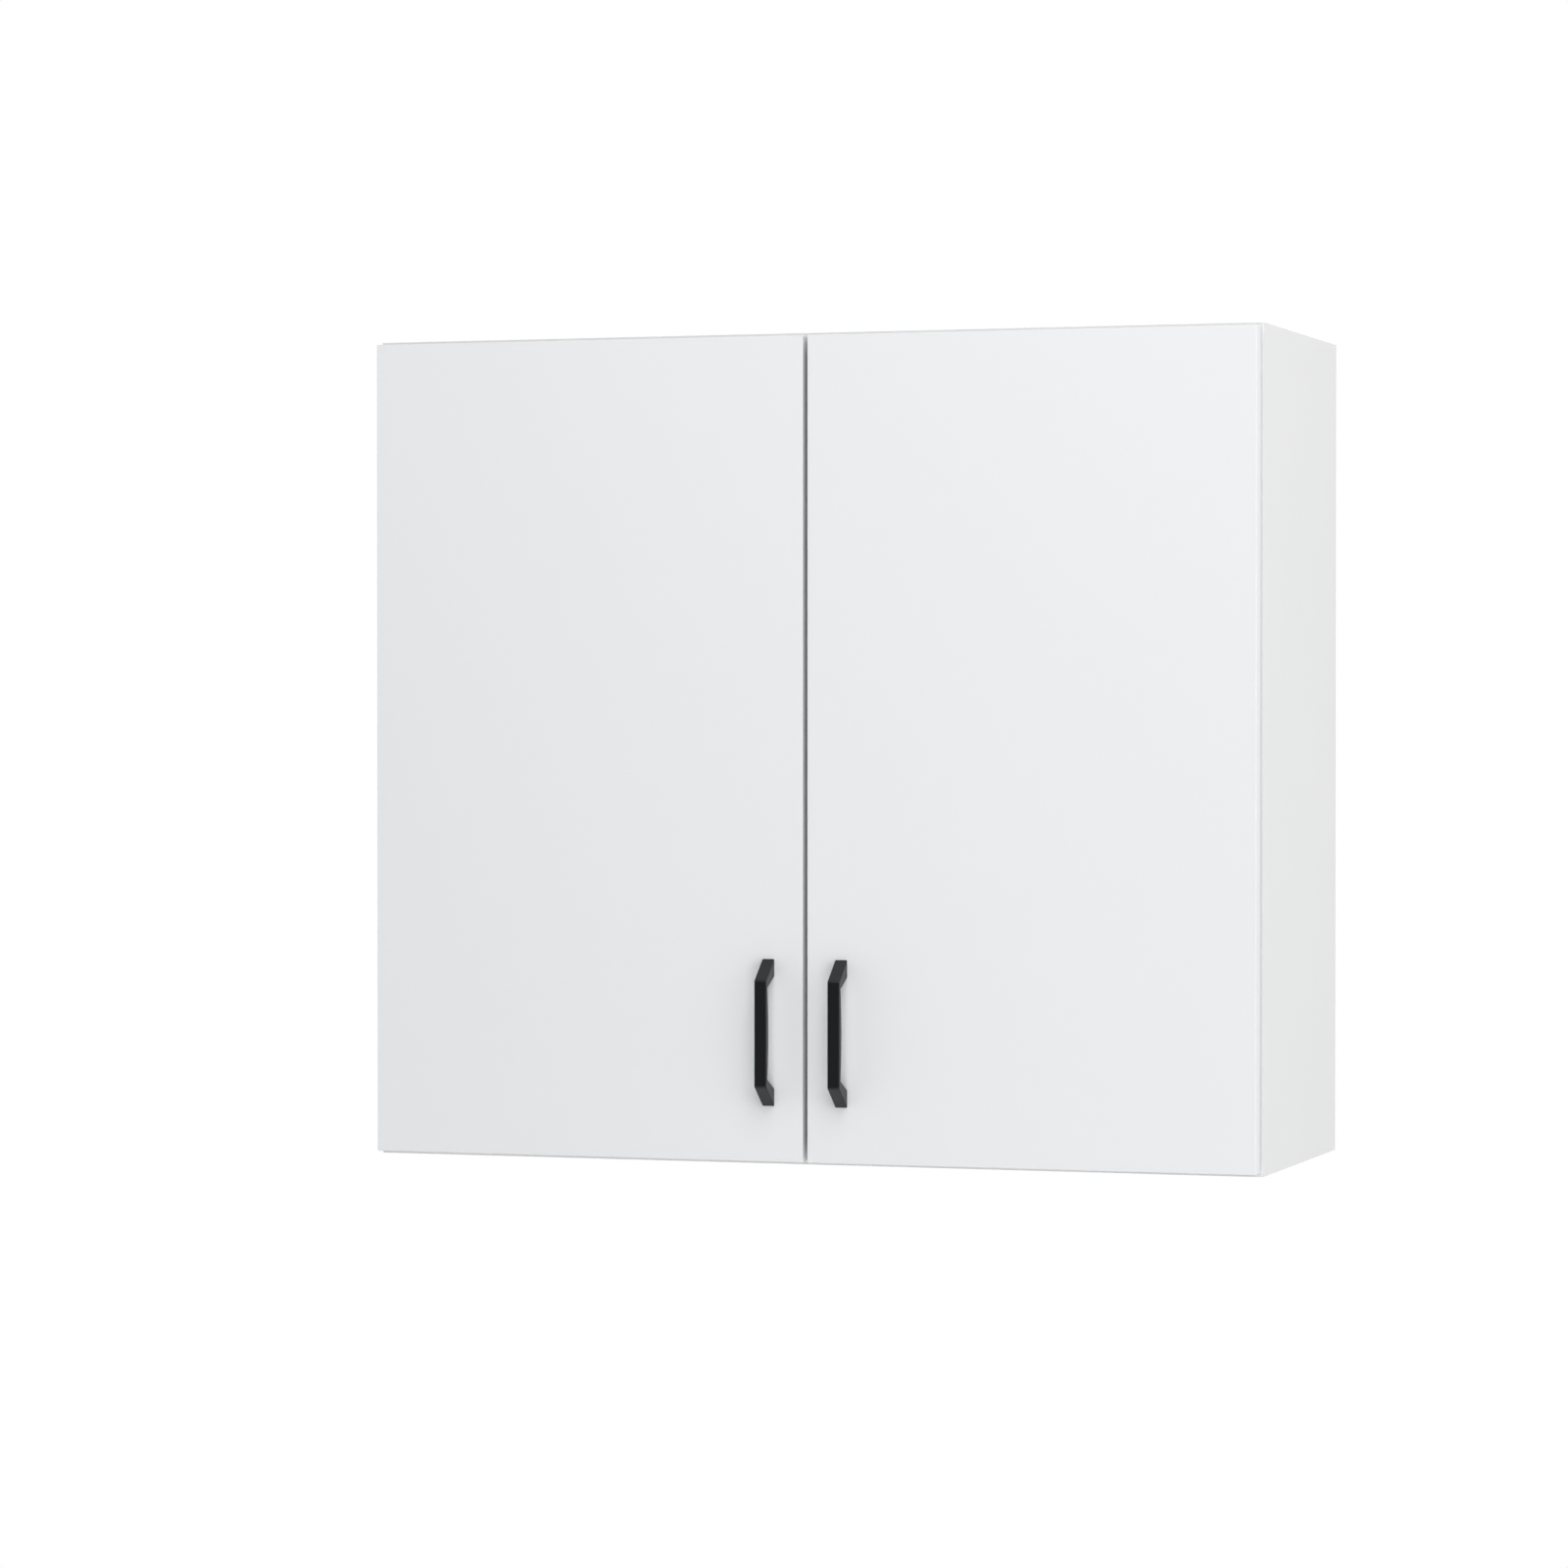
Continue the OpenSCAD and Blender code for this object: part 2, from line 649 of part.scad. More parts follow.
module handle() {
    color(black_metal) difference() {
        translate([handle_x + handle_w / 2, door_front_y, handle_z])
            rotate([0, -90, 0]) linear_extrude(handle_w) mirror([0, 1]) handle_outline();
        for (s = [handle_hole_in, handle_l - handle_hole_in])
            rod_y(handle_x, door_front_y - handle_hole_depth, handle_z + s, handle_screw_d,
                handle_hole_depth + eps);
    }
}

module handle_screws() {
    color(zinc) for (s = [handle_hole_in, handle_l - handle_hole_in])
        translate([handle_x, door_back_y, handle_z + s]) rotate([-90, 0, 0])
            screw(handle_screw_d - 2 * fixed_fit, door_t + handle_hole_depth - 0.5, head_d = 8, head_h = 2);
}

module bumpers() {
    color(clear_plastic) for (z = [board_t / 2 + 1.5, cabinet_h - board_t / 2 - 1.5])
        rod_y(-door_gap / 2 - bumper_inset, door_back_y, z, bumper_d, bumper_t);
}

// ---- Pieces ----

side_panel();  // left_side_panel
right_side() side_panel();  // right_side_panel
top_panel();
bottom_panel();
back_panel();
shelf();
shelf_pins();
cam_discs();
cam_bolts();
cam_caps();
dowels();
hanger_box();  // left_hanger_box
right_side() hanger_box();  // right_hanger_box
hanger_hook();  // left_hanger_hook
right_side() hanger_hook();  // right_hanger_hook
hanger_cover();  // left_hanger_cover
right_side() hanger_cover();  // right_hanger_cover
hanger_screws();
hanger_adjusters();
wall_plate();  // left_wall_plate
right_side() wall_plate();  // right_wall_plate
hinge_plate(hinge_zs[0]);  // left_lower_hinge_plate
hinge_plate(hinge_zs[1]);  // left_upper_hinge_plate
right_side() hinge_plate(hinge_zs[0]);  // right_lower_hinge_plate
right_side() hinge_plate(hinge_zs[1]);  // right_upper_hinge_plate
hinge_arm(hinge_zs[0]);  // left_lower_hinge_arm
hinge_arm(hinge_zs[1]);  // left_upper_hinge_arm
right_side() hinge_arm(hinge_zs[0]);  // right_lower_hinge_arm
right_side() hinge_arm(hinge_zs[1]);  // right_upper_hinge_arm
hinge_plate_screws();
hinge_arm_screws();
hinge_arm_pins();
hinge_link(hinge_zs[0]);  // left_lower_hinge_link
hinge_link(hinge_zs[1]);  // left_upper_hinge_link
right_side() hinge_link(hinge_zs[0]);  // right_lower_hinge_link
right_side() hinge_link(hinge_zs[1]);  // right_upper_hinge_link
door();  // left_door
right_side() door();  // right_door
hinge_cup(hinge_zs[0]);  // left_lower_hinge_cup
hinge_cup(hinge_zs[1]);  // left_upper_hinge_cup
right_side() hinge_cup(hinge_zs[0]);  // right_lower_hinge_cup
right_side() hinge_cup(hinge_zs[1]);  // right_upper_hinge_cup
cup_pins();  // left_cup_pins
right_side() cup_pins();  // right_cup_pins
cup_springs();  // left_cup_springs
right_side() cup_springs();  // right_cup_springs
cup_screws();  // left_cup_screws
right_side() cup_screws();  // right_cup_screws
handle();  // left_handle
right_side() handle();  // right_handle
handle_screws();  // left_handle_screws
right_side() handle_screws();  // right_handle_screws
bumpers();  // left_bumpers
right_side() bumpers();  // right_bumpers
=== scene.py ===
import json
import math

import bmesh
import bpy
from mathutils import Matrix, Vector


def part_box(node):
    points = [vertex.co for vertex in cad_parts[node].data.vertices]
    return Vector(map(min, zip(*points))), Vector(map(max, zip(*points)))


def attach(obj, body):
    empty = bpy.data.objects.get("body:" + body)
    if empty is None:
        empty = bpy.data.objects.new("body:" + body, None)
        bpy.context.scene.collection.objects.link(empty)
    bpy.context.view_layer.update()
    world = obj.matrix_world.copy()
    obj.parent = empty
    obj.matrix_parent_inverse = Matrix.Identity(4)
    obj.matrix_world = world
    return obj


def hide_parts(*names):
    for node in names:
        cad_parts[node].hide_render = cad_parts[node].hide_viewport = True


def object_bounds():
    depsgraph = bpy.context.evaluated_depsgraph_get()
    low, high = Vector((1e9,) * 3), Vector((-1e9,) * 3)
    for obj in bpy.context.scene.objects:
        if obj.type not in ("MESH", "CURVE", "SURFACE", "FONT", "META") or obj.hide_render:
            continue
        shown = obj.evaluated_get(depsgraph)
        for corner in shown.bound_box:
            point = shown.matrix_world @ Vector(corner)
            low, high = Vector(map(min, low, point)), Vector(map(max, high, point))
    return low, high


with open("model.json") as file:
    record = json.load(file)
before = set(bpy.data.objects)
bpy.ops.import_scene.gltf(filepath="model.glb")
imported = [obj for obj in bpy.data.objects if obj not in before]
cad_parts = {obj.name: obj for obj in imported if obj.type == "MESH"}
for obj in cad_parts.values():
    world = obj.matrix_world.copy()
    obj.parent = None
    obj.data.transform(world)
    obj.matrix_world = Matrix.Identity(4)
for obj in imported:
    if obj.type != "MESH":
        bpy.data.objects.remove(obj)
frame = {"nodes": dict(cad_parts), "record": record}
cadLow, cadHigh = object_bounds()
cadNodes = frame["nodes"]
bodyOf = {node: body for body, members in frame["record"]["behaviour"]["bodies"].items() for node in members}
slotOf = {part["node"]: part["material_slot"] for part in frame["record"]["subparts"]}
mm = 0.001
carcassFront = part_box("left_side_panel")[0].y
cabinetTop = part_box("left_side_panel")[1].z
doorLow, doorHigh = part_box("left_door")
print("frame loaded:", len(cadNodes), "nodes")

# The camera stands about level with the cabinet's middle, on its right
cameraSettings = {"place": (1.379, -4.598, 0.393), "turn": 18.048, "tilt": -0.80, "lens": 119.97,
                  "sensor": 36}


def placeCamera(settings):
    data = bpy.data.cameras.new("viewCamera")
    data.lens = settings["lens"]
    data.sensor_width = settings["sensor"]
    camera = bpy.data.objects.new("viewCamera", data)
    camera.location = settings["place"]
    camera.rotation_euler = (math.radians(90 + settings["tilt"]), 0, math.radians(settings["turn"]))
    bpy.context.scene.collection.objects.link(camera)
    bpy.context.scene.camera = camera


placeCamera(cameraSettings)


class Wire:
    # One output of a node. An expression on wires adds its Math nodes.
    def __init__(self, graph, socket):
        self.graph = graph
        self.socket = socket

    def also(self, name):
        return Wire(self.graph, self.socket.node.outputs[name])

    def __add__(self, other):
        return self.graph.maths("ADD", self, other)

    def __radd__(self, other):
        return self.graph.maths("ADD", other, self)

    def __sub__(self, other):
        return self.graph.maths("SUBTRACT", self, other)

    def __rsub__(self, other):
        return self.graph.maths("SUBTRACT", other, self)

    def __mul__(self, other):
        return self.graph.maths("MULTIPLY", self, other)

    def __rmul__(self, other):
        return self.graph.maths("MULTIPLY", other, self)

    def __truediv__(self, other):
        return self.graph.maths("DIVIDE", self, other)

    def __rtruediv__(self, other):
        return self.graph.maths("DIVIDE", other, self)

    def __pow__(self, other):
        return self.graph.maths("POWER", self, other)


class Graph:
    # A node tree, of a material or of geometry: a node gets its settings first, then its values and wires
    def __init__(self, tree):
        self.tree = tree

    def add(self, kind, settings=None, sockets=None, output=0):
        node = self.tree.nodes.new(kind)
        for key, value in (settings or {}).items():
            if key == "stops":
                self.setStops(node.color_ramp, value)
            else:
                setattr(node, key, value)
        for key, value in (sockets or {}).items():
            for one in value if isinstance(value, list) else [value]:
                if isinstance(one, Wire):
                    self.tree.links.new(one.socket, node.inputs[key])
                else:
                    node.inputs[key].default_value = one
        return Wire(self, node.outputs[output]) if node.outputs else node

    def setStops(self, ramp, stops):
        while len(ramp.elements) < len(stops):
            ramp.elements.new(0.5)
        for element, (position, colour) in zip(ramp.elements, stops):
            element.position = position
            element.color = (*colour, 1)

    def maths(self, operation, first, second=0.0):
        return self.add("ShaderNodeMath", {"operation": operation}, {0: first, 1: second})

    def spread(self, value, low, high, newLow=0.0, newHigh=1.0, kind="SMOOTHSTEP"):
        sockets = {"Value": value, "From Min": low, "From Max": high, "To Min": newLow, "To Max": newHigh}
        return self.add("ShaderNodeMapRange", {"interpolation_type": kind}, sockets)

    def mixColour(self, factor, first, second):
        first, second = [c if isinstance(c, Wire) else (*c, 1) for c in (first, second)]
        # of the Mix node's many sockets, 6 and 7 take its colours and output 2 gives one
        return self.add("ShaderNodeMix", {"data_type": "RGBA"}, {0: factor, 6: first, 7: second}, 2)

    def axes(self, vector):
        x = self.add("ShaderNodeSeparateXYZ", None, {0: vector})
        return x, x.also("Y"), x.also("Z")

    def join(self, x, y, z):
        return self.add("ShaderNodeCombineXYZ", None, {0: x, 1: y, 2: z})

    def noise(self, place, scale, detail=2.0, stretch=(1, 1, 1)):
        if stretch != (1, 1, 1):
            place = self.add("ShaderNodeMapping", None, {"Vector": place, "Scale": stretch})
        return self.add("ShaderNodeTexNoise", None, {"Vector": place, "Scale": scale, "Detail": detail})

    def cells(self, place, scale, output="Distance", stretch=(1, 1, 1)):
        if stretch != (1, 1, 1):
            place = self.add("ShaderNodeMapping", None, {"Vector": place, "Scale": stretch})
        return self.add("ShaderNodeTexVoronoi", None, {"Vector": place, "Scale": scale}, output)

    def bump(self, height, strength, distance):
        sockets = {"Strength": strength, "Distance": distance, "Height": height}
        return self.add("ShaderNodeBump", None, sockets)

    def lineAt(self, value, place, halfWidth):
        return 1 - self.spread(self.maths("ABSOLUTE", value - place), 0.0, halfWidth)


def makeMaterial(name, recipe, settings):
    made = bpy.data.materials.new(name)
    made.use_nodes = True
    graph = Graph(made.node_tree)
    graph.tree.nodes.clear()
    place = graph.add("ShaderNodeTexCoord", None, None, "Object")
    surface = graph.add("ShaderNodeBsdfPrincipled", None, recipe(graph, place, settings))
    graph.add("ShaderNodeOutputMaterial", None, {"Surface": surface})
    return made


# White melamine foil: a faint cloudiness, a fine pearl grain, and the glue lines of its edge bands
melamineSettings = {
    "white": (0.772, 0.775, 0.773), "shade": (0.755, 0.759, 0.761), "cloudScale": 7, "grainScale": 850,
    "joint": (0.52, 0.51, 0.49), "bandThickness": 0.5 * mm, "jointWidth": 0.12 * mm,
    "jointStrength": 0.35, "jointDepth": 0.6,
    "roughness": 0.40, "grainRoughness": 0.10, "cloudRoughness": 0.04,
    "bumpStrength": 0.10, "bumpHeight": 0.05 * mm, "gloss": 0.45,
}


def bandJoints(graph, place, settings):
    # 1 on the thin lines where an edge band meets the face, 0 elsewhere
    x, y, z = graph.axes(place)
    thickness = settings["bandThickness"]
    upward = graph.maths("ABSOLUTE", z - cabinetTop / 2)
    outward = graph.maths("ABSOLUTE", x)
    edgePlaces = {
        "front": (y, carcassFront + thickness),
        "ends": (upward, cabinetTop / 2 - thickness),
        "doorEnds": (upward, doorHigh.z - cabinetTop / 2 - thickness),
        "doorOuter": (outward, -doorLow.x - thickness),
        "doorInner": (outward, -doorHigh.x + thickness),
    }
    joints = 0.0
    for edge in settings["edges"]:
        joints = graph.maths("MAXIMUM", joints, graph.lineAt(*edgePlaces[edge], settings["jointWidth"]))
    return joints


def melamine(graph, place, settings):
    clouds = graph.noise(place, settings["cloudScale"], 2)
    grain = graph.noise(place, settings["grainScale"], 3)
    colour = graph.mixColour(clouds, settings["white"], settings["shade"])
    joints = bandJoints(graph, place, settings)
    colour = graph.mixColour(joints * settings["jointStrength"], colour, settings["joint"])
    height = grain - joints * settings["jointDepth"]
    roughness = settings["roughness"] + settings["grainRoughness"] * (grain - 0.5)
    return {"Base Color": colour, "Roughness": roughness + settings["cloudRoughness"] * clouds,
            "Normal": graph.bump(height, settings["bumpStrength"], settings["bumpHeight"]),
            "Specular IOR Level": settings["gloss"]}


# Satin door lacquer: smoother than the boards, with a long soft ripple
doorSettings = {
    "white": (0.780, 0.794, 0.809), "shade": (0.769, 0.784, 0.801), "cloudScale": 5,
    "edges": ("doorEnds", "doorOuter", "doorInner"), "joint": (0.60, 0.60, 0.60),
    "bandThickness": 0.9 * mm, "jointWidth": 0.14 * mm, "jointStrength": 0.2,
    "rippleScale": 160, "dustScale": 1400, "dustDepth": 0.25,
    "roughness": 0.33, "dustRoughness": 0.07, "cloudRoughness": 0.05,
    "bumpStrength": 0.06, "bumpHeight": 0.08 * mm, "gloss": 0.5,
}


def doorLacquer(graph, place, settings):
    clouds = graph.noise(place, settings["cloudScale"], 2)
    ripple = graph.noise(place, settings["rippleScale"], 2)
    dust = graph.noise(place, settings["dustScale"], 2)
    colour = graph.mixColour(clouds, settings["white"], settings["shade"])
    joints = bandJoints(graph, place, settings)
    colour = graph.mixColour(joints * settings["jointStrength"], colour, settings["joint"])
    height = ripple + settings["dustDepth"] * dust
    roughness = settings["roughness"] + settings["dustRoughness"] * (dust - 0.5)
    return {"Base Color": colour, "Roughness": roughness + settings["cloudRoughness"] * clouds,
            "Normal": graph.bump(height, settings["bumpStrength"], settings["bumpHeight"]),
            "Specular IOR Level": settings["gloss"]}


# Bare chipboard, where a board is cut or drilled: pale and dark flakes lying along the board, with pores
chipboardSettings = {
    "pale": (0.52, 0.40, 0.27), "middle": (0.36, 0.25, 0.155), "dark": (0.17, 0.105, 0.06),
    "bendScale": 300, "bendReach": 1.2 * mm, "flakeScale": 560, "fibreScale": 1500,
    "poreScale": 900, "poreSize": (0.05, 0.22), "poreStrength": 0.6,
    "roughness": 0.8, "fibreRoughness": 0.15, "bumpStrength": 0.5, "bumpHeight": 0.25 * mm, "gloss": 0.2,
}


def chipboard(graph, place, settings):
    wander = graph.noise(place, settings["bendScale"], 2).also("Color")
    sockets = {0: wander, "Scale": settings["bendReach"]}
    wander = graph.add("ShaderNodeVectorMath", {"operation": "SCALE"}, sockets)
    bent = graph.add("ShaderNodeVectorMath", {"operation": "ADD"}, {0: place, 1: wander})
    flakes = graph.axes(graph.cells(bent, settings["flakeScale"], "Color", settings["stretch"]))[0]
    fibres = graph.noise(bent, settings["fibreScale"], 3, settings["stretch"])
    pores = 1 - graph.spread(graph.cells(place, settings["poreScale"]), *settings["poreSize"])
    stops = [(0.0, settings["dark"]), (0.28, settings["middle"]), (0.75, settings["pale"])]
    colour = graph.add("ShaderNodeValToRGB", {"stops": stops}, {"Fac": 0.7 * flakes + 0.4 * fibres})
    colour = graph.mixColour(pores * settings["poreStrength"], colour, settings["dark"])
    height = flakes * 0.4 + fibres * 0.6 - pores
    return {"Base Color": colour,
            "Roughness": settings["roughness"] + settings["fibreRoughness"] * (fibres - 0.5),
            "Normal": graph.bump(height, settings["bumpStrength"], settings["bumpHeight"]),
            "Specular IOR Level": settings["gloss"]}


# The back of the hardboard: brown, with the print of the press screen, and painted shade darkening the
# hollows of that print
hardboardSettings = {
    "brown": (0.235, 0.140, 0.078), "dark": (0.150, 0.083, 0.045), "pale": (0.33, 0.21, 0.125),
    "fibreScale": 260, "fibreStretch": (1, 1, 2.5), "cloudScale": 14,
    "screenPitch": 1.6 * mm, "screenStrength": 0.35, "screenDepth": 0.8, "fibreDepth": 0.7,
    "roughness": 0.72, "fibreRoughness": 0.12, "bumpStrength": 0.4, "bumpHeight": 0.18 * mm, "gloss": 0.25,
}


def hardboardRear(graph, place, settings):
    x, _, z = graph.axes(place)
    step = 2 * math.pi / settings["screenPitch"]
    screen = graph.maths("SINE", x * step) * graph.maths("SINE", z * step)
    fibres = graph.noise(place, settings["fibreScale"], 4, settings["fibreStretch"])
    clouds = graph.noise(place, settings["cloudScale"], 3)
    colour = graph.mixColour(fibres, settings["dark"], settings["pale"])
    colour = graph.mixColour(0.35 + 0.3 * clouds, colour, settings["brown"])
    # painted shade: the colour turns darker where the screen's relief is low, in its hollows
    paintedHollowShade = graph.spread(screen, -1, 0.2, settings["screenStrength"], 0.0)
    colour = graph.mixColour(paintedHollowShade, colour, settings["dark"])
    height = screen * settings["screenDepth"] + fibres * settings["fibreDepth"]
    return {"Base Color": colour,
            "Roughness": settings["roughness"] + settings["fibreRoughness"] * (fibres - 0.5),
            "Normal": graph.bump(height, settings["bumpStrength"], settings["bumpHeight"]),
            "Specular IOR Level": settings["gloss"]}


# Matte black powder coat: a fine orange peel and a few duller grains
powderSettings = {
    "black": (0.0018, 0.0021, 0.0030), "grey": (0.0036, 0.0040, 0.0050), "cloudScale": 60,
    "peelScale": 1300, "grainScale": 2600, "grainSize": (0.1, 0.45), "grainDepth": 0.3,
    "roughness": 0.38, "peelRoughness": 0.12, "grainRoughness": 0.1,
    "bumpStrength": 0.22, "bumpHeight": 0.06 * mm, "gloss": 0.45,
}


def powderCoat(graph, place, settings):
    peel = graph.noise(place, settings["peelScale"], 3)
    grains = 1 - graph.spread(graph.cells(place, settings["grainScale"]), *settings["grainSize"])
    clouds = graph.noise(place, settings["cloudScale"], 2)
    colour = graph.mixColour(0.6 * peel + 0.4 * clouds, settings["black"], settings["grey"])
    roughness = settings["roughness"] + settings["peelRoughness"] * (peel - 0.5)
    height = peel + settings["grainDepth"] * grains
    return {"Base Color": colour, "Roughness": roughness + settings["grainRoughness"] * grains,
            "Normal": graph.bump(height, settings["bumpStrength"], settings["bumpHeight"]),
            "Specular IOR Level": settings["gloss"]}


# Plated steel: nickel with faint drawing lines, zinc with a clouded bluish skin, and oiled spring wire
nickelSettings = {
    "light": (0.70, 0.685, 0.65), "dark": (0.62, 0.605, 0.573), "cloudScale": 60,
    "lineScale": 1500, "lineStretch": (1, 1, 0.1), "roughness": 0.26, "uneven": 0.09, "bumpStrength": 0.03,
}
zincSettings = {
    "light": (0.66, 0.68, 0.70), "dark": (0.50, 0.52, 0.56), "cloudScale": 240,
    "lineScale": 500, "lineStretch": (1, 1, 0.5), "roughness": 0.38, "uneven": 0.18, "bumpStrength": 0.08,
}
springSettings = {
    "light": (0.46, 0.46, 0.47), "dark": (0.30, 0.30, 0.32), "cloudScale": 400,
    "lineScale": 1800, "lineStretch": (1, 1, 0.3), "roughness": 0.30, "uneven": 0.15, "bumpStrength": 0.05,
}
platingBump = 0.04 * mm


def plating(graph, place, settings):
    lines = graph.noise(place, settings["lineScale"], 3, settings["lineStretch"])
    clouds = graph.noise(place, settings["cloudScale"], 3)
    colour = graph.mixColour(0.5 * lines + 0.5 * clouds, settings["dark"], settings["light"])
    roughness = settings["roughness"] + settings["uneven"] * (0.6 * clouds + 0.4 * lines - 0.5)
    return {"Base Color": colour, "Metallic": 1.0, "Roughness": roughness,
            "Normal": graph.bump(lines, settings["bumpStrength"], platingBump)}


# Moulded white plastic with a fine spark-eroded grain
plasticSettings = {
    "white": (0.80, 0.80, 0.785), "shade": (0.755, 0.755, 0.735), "grainScale": 1700, "cloudScale": 120,
    "roughness": 0.42, "grainRoughness": 0.14, "bumpStrength": 0.16, "bumpHeight": 0.04 * mm,
    "glow": 0.05, "glowReach": 2 * mm, "gloss": 0.45,
}


def mouldedPlastic(graph, place, settings):
    grain = graph.noise(place, settings["grainScale"], 2)
    clouds = graph.noise(place, settings["cloudScale"], 2)
    return {"Base Color": graph.mixColour(clouds, settings["white"], settings["shade"]),
            "Roughness": settings["roughness"] + settings["grainRoughness"] * (grain - 0.5),
            "Normal": graph.bump(grain, settings["bumpStrength"], settings["bumpHeight"]),
            "Subsurface Weight": settings["glow"], "Subsurface Radius": (settings["glowReach"],) * 3,
            "Specular IOR Level": settings["gloss"]}


# Soft clear plastic of the door bumpers
bumperSettings = {
    "tint": (0.90, 0.92, 0.93), "haze": (0.80, 0.83, 0.85), "hazeScale": 500, "skinScale": 900,
    "roughness": 0.16, "hazeRoughness": 0.1, "clearness": 0.75, "refraction": 1.46,
    "bumpStrength": 0.05, "bumpHeight": 0.03 * mm,
}


def clearPlastic(graph, place, settings):
    haze = graph.noise(place, settings["hazeScale"], 2)
    skin = graph.noise(place, settings["skinScale"], 2)
    return {"Base Color": graph.mixColour(haze, settings["tint"], settings["haze"]),
            "Roughness": settings["roughness"] + settings["hazeRoughness"] * haze,
            "Transmission Weight": settings["clearness"], "IOR": settings["refraction"],
            "Normal": graph.bump(skin, settings["bumpStrength"], settings["bumpHeight"])}


# Beech: fine rays along the dowel
beechSettings = {
    "pale": (0.62, 0.44, 0.27), "dark": (0.45, 0.285, 0.155),
    "growthScale": 420, "growthStretch": (0.12, 1, 1),
    "rayScale": 1900, "rayStretch": (0.2, 1, 1), "raySize": (0.55, 0.75),
    "roughness": 0.62, "growthRoughness": 0.1, "bumpStrength": 0.2, "bumpHeight": 0.06 * mm, "gloss": 0.3,
}


def beechWood(graph, place, settings):
    growth = graph.noise(place, settings["growthScale"], 3, settings["growthStretch"])
    rays = graph.noise(place, settings["rayScale"], 2, settings["rayStretch"])
    rays = graph.spread(rays, *settings["raySize"])
    colour = graph.mixColour(growth * 0.8 + rays * 0.3, settings["pale"], settings["dark"])
    return {"Base Color": colour,
            "Roughness": settings["roughness"] + settings["growthRoughness"] * (growth - 0.5),
            "Normal": graph.bump(growth, settings["bumpStrength"], settings["bumpHeight"]),
            "Specular IOR Level": settings["gloss"]}


# Chipboard flakes lie along the length of their board
uprightSettings = {**chipboardSettings, "stretch": (1, 1, 0.4)}
levelSettings = {**chipboardSettings, "stretch": (0.4, 1, 1)}
recipes = {
    "sideMelamine": (melamine, {**melamineSettings, "edges": ("front", "ends")}),
    "boardMelamine": (melamine, {**melamineSettings, "edges": ("front",)}),
    "shelfMelamine": (melamine, {**melamineSettings, "edges": ()}),
    "doorLacquer": (doorLacquer, doorSettings),
    "uprightChipboard": (chipboard, uprightSettings),
    "levelChipboard": (chipboard, levelSettings),
    "hardboardRear": (hardboardRear, hardboardSettings),
    "powderCoat": (powderCoat, powderSettings),
    "nickelPlate": (plating, nickelSettings),
    "zincPlate": (plating, zincSettings),
    "springWire": (plating, springSettings),
    "mouldedPlastic": (mouldedPlastic, plasticSettings),
    "clearPlastic": (clearPlastic, bumperSettings),
    "beechWood": (beechWood, beechSettings),
}
finishes = {name: makeMaterial(name, *recipe) for name, recipe in recipes.items()}
finishOfSlot = {"white_plastic": "mouldedPlastic", "clear_bumper": "clearPlastic", "zinc": "zincPlate",
                "spring_steel": "springWire", "nickel": "nickelPlate", "black_handle": "powderCoat",
                "beech": "beechWood"}
print("finishes made:", len(finishes))


# Corners this close are one, edges this short go, and faces that lean less than this are one
mergeSettings = {"near": 0.002 * mm, "short": 0.001 * mm, "lean": 0.3}


def mergedShape(node, settings=mergeSettings):
    # The CAD node's shape with its loose triangles merged into whole faces
    source = cadNodes[node].data
    shape = bmesh.new()
    corners = [shape.verts.new(v.co) for v in source.vertices]
    for face in source.polygons:
        if face.area > 0:
            shape.faces.new([corners[i] for i in face.vertices])
    bmesh.ops.remove_doubles(shape, verts=shape.verts, dist=settings["near"])
    bmesh.ops.dissolve_degenerate(shape, edges=shape.edges, dist=settings["short"])
    lean = math.radians(settings["lean"])
    bmesh.ops.dissolve_limit(shape, angle_limit=lean, verts=shape.verts, edges=shape.edges)
    return shape


def evenShading(mesh, smoothAngle):
    # Large flat faces stay flat beside rounded edges, because the normals are weighted by area
    mesh.polygons.foreach_set("use_smooth", [True] * len(mesh.polygons))
    mesh.set_sharp_from_angle(angle=math.radians(smoothAngle))
    holder = bpy.data.objects.new("holder", mesh)
    bpy.context.scene.collection.objects.link(holder)
    weighting = holder.modifiers.new("weighting", "WEIGHTED_NORMAL")
    weighting.weight = 100
    weighting.keep_sharp = True
    made = bpy.data.meshes.new_from_object(holder.evaluated_get(bpy.context.evaluated_depsgraph_get()))
    bpy.data.objects.remove(holder)
    return made


def finishPiece(name, mesh, standsFor, smoothAngle=35):
    # The piece rides with the body of the nodes that it stands for
    mesh = evenShading(mesh, smoothAngle)
    mesh.name = name
    piece = bpy.data.objects.new(name, mesh)
    bpy.context.scene.collection.objects.link(piece)
    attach(piece, bodyOf[standsFor[0]])
    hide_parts(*standsFor)
    return piece


def meshOf(shape, materials):
    mesh = bpy.data.meshes.new("shape")
    shape.to_mesh(mesh)
    shape.free()
    for one in materials:
        mesh.materials.append(finishes[one])
    return mesh


def roundEdges(shape, edges, width, segments):
    bmesh.ops.bevel(shape, geom=edges, offset=width, offset_type="OFFSET", segments=segments, profile=0.5,
                    affect="EDGES", clamp_overlap=False, loop_slide=True)


def boxOfPoints(points):
    low = Vector([min(p[i] for p in points) for i in range(3)])
    high = Vector([max(p[i] for p in points) for i in range(3)])
    return low, high


def cornerEdges(shape, low, high, reach=0.01 * mm):
    # The edges that lie along the twelve edges of the shape's box
    found = []
    for edge in shape.edges:
        a, b = [v.co for v in edge.verts]
        atWalls = sum(1 for i in range(3) for wall in (low[i], high[i])
                      if abs(a[i] - wall) < reach and abs(b[i] - wall) < reach)
        if atWalls >= 2:
            found.append(edge)
    return found


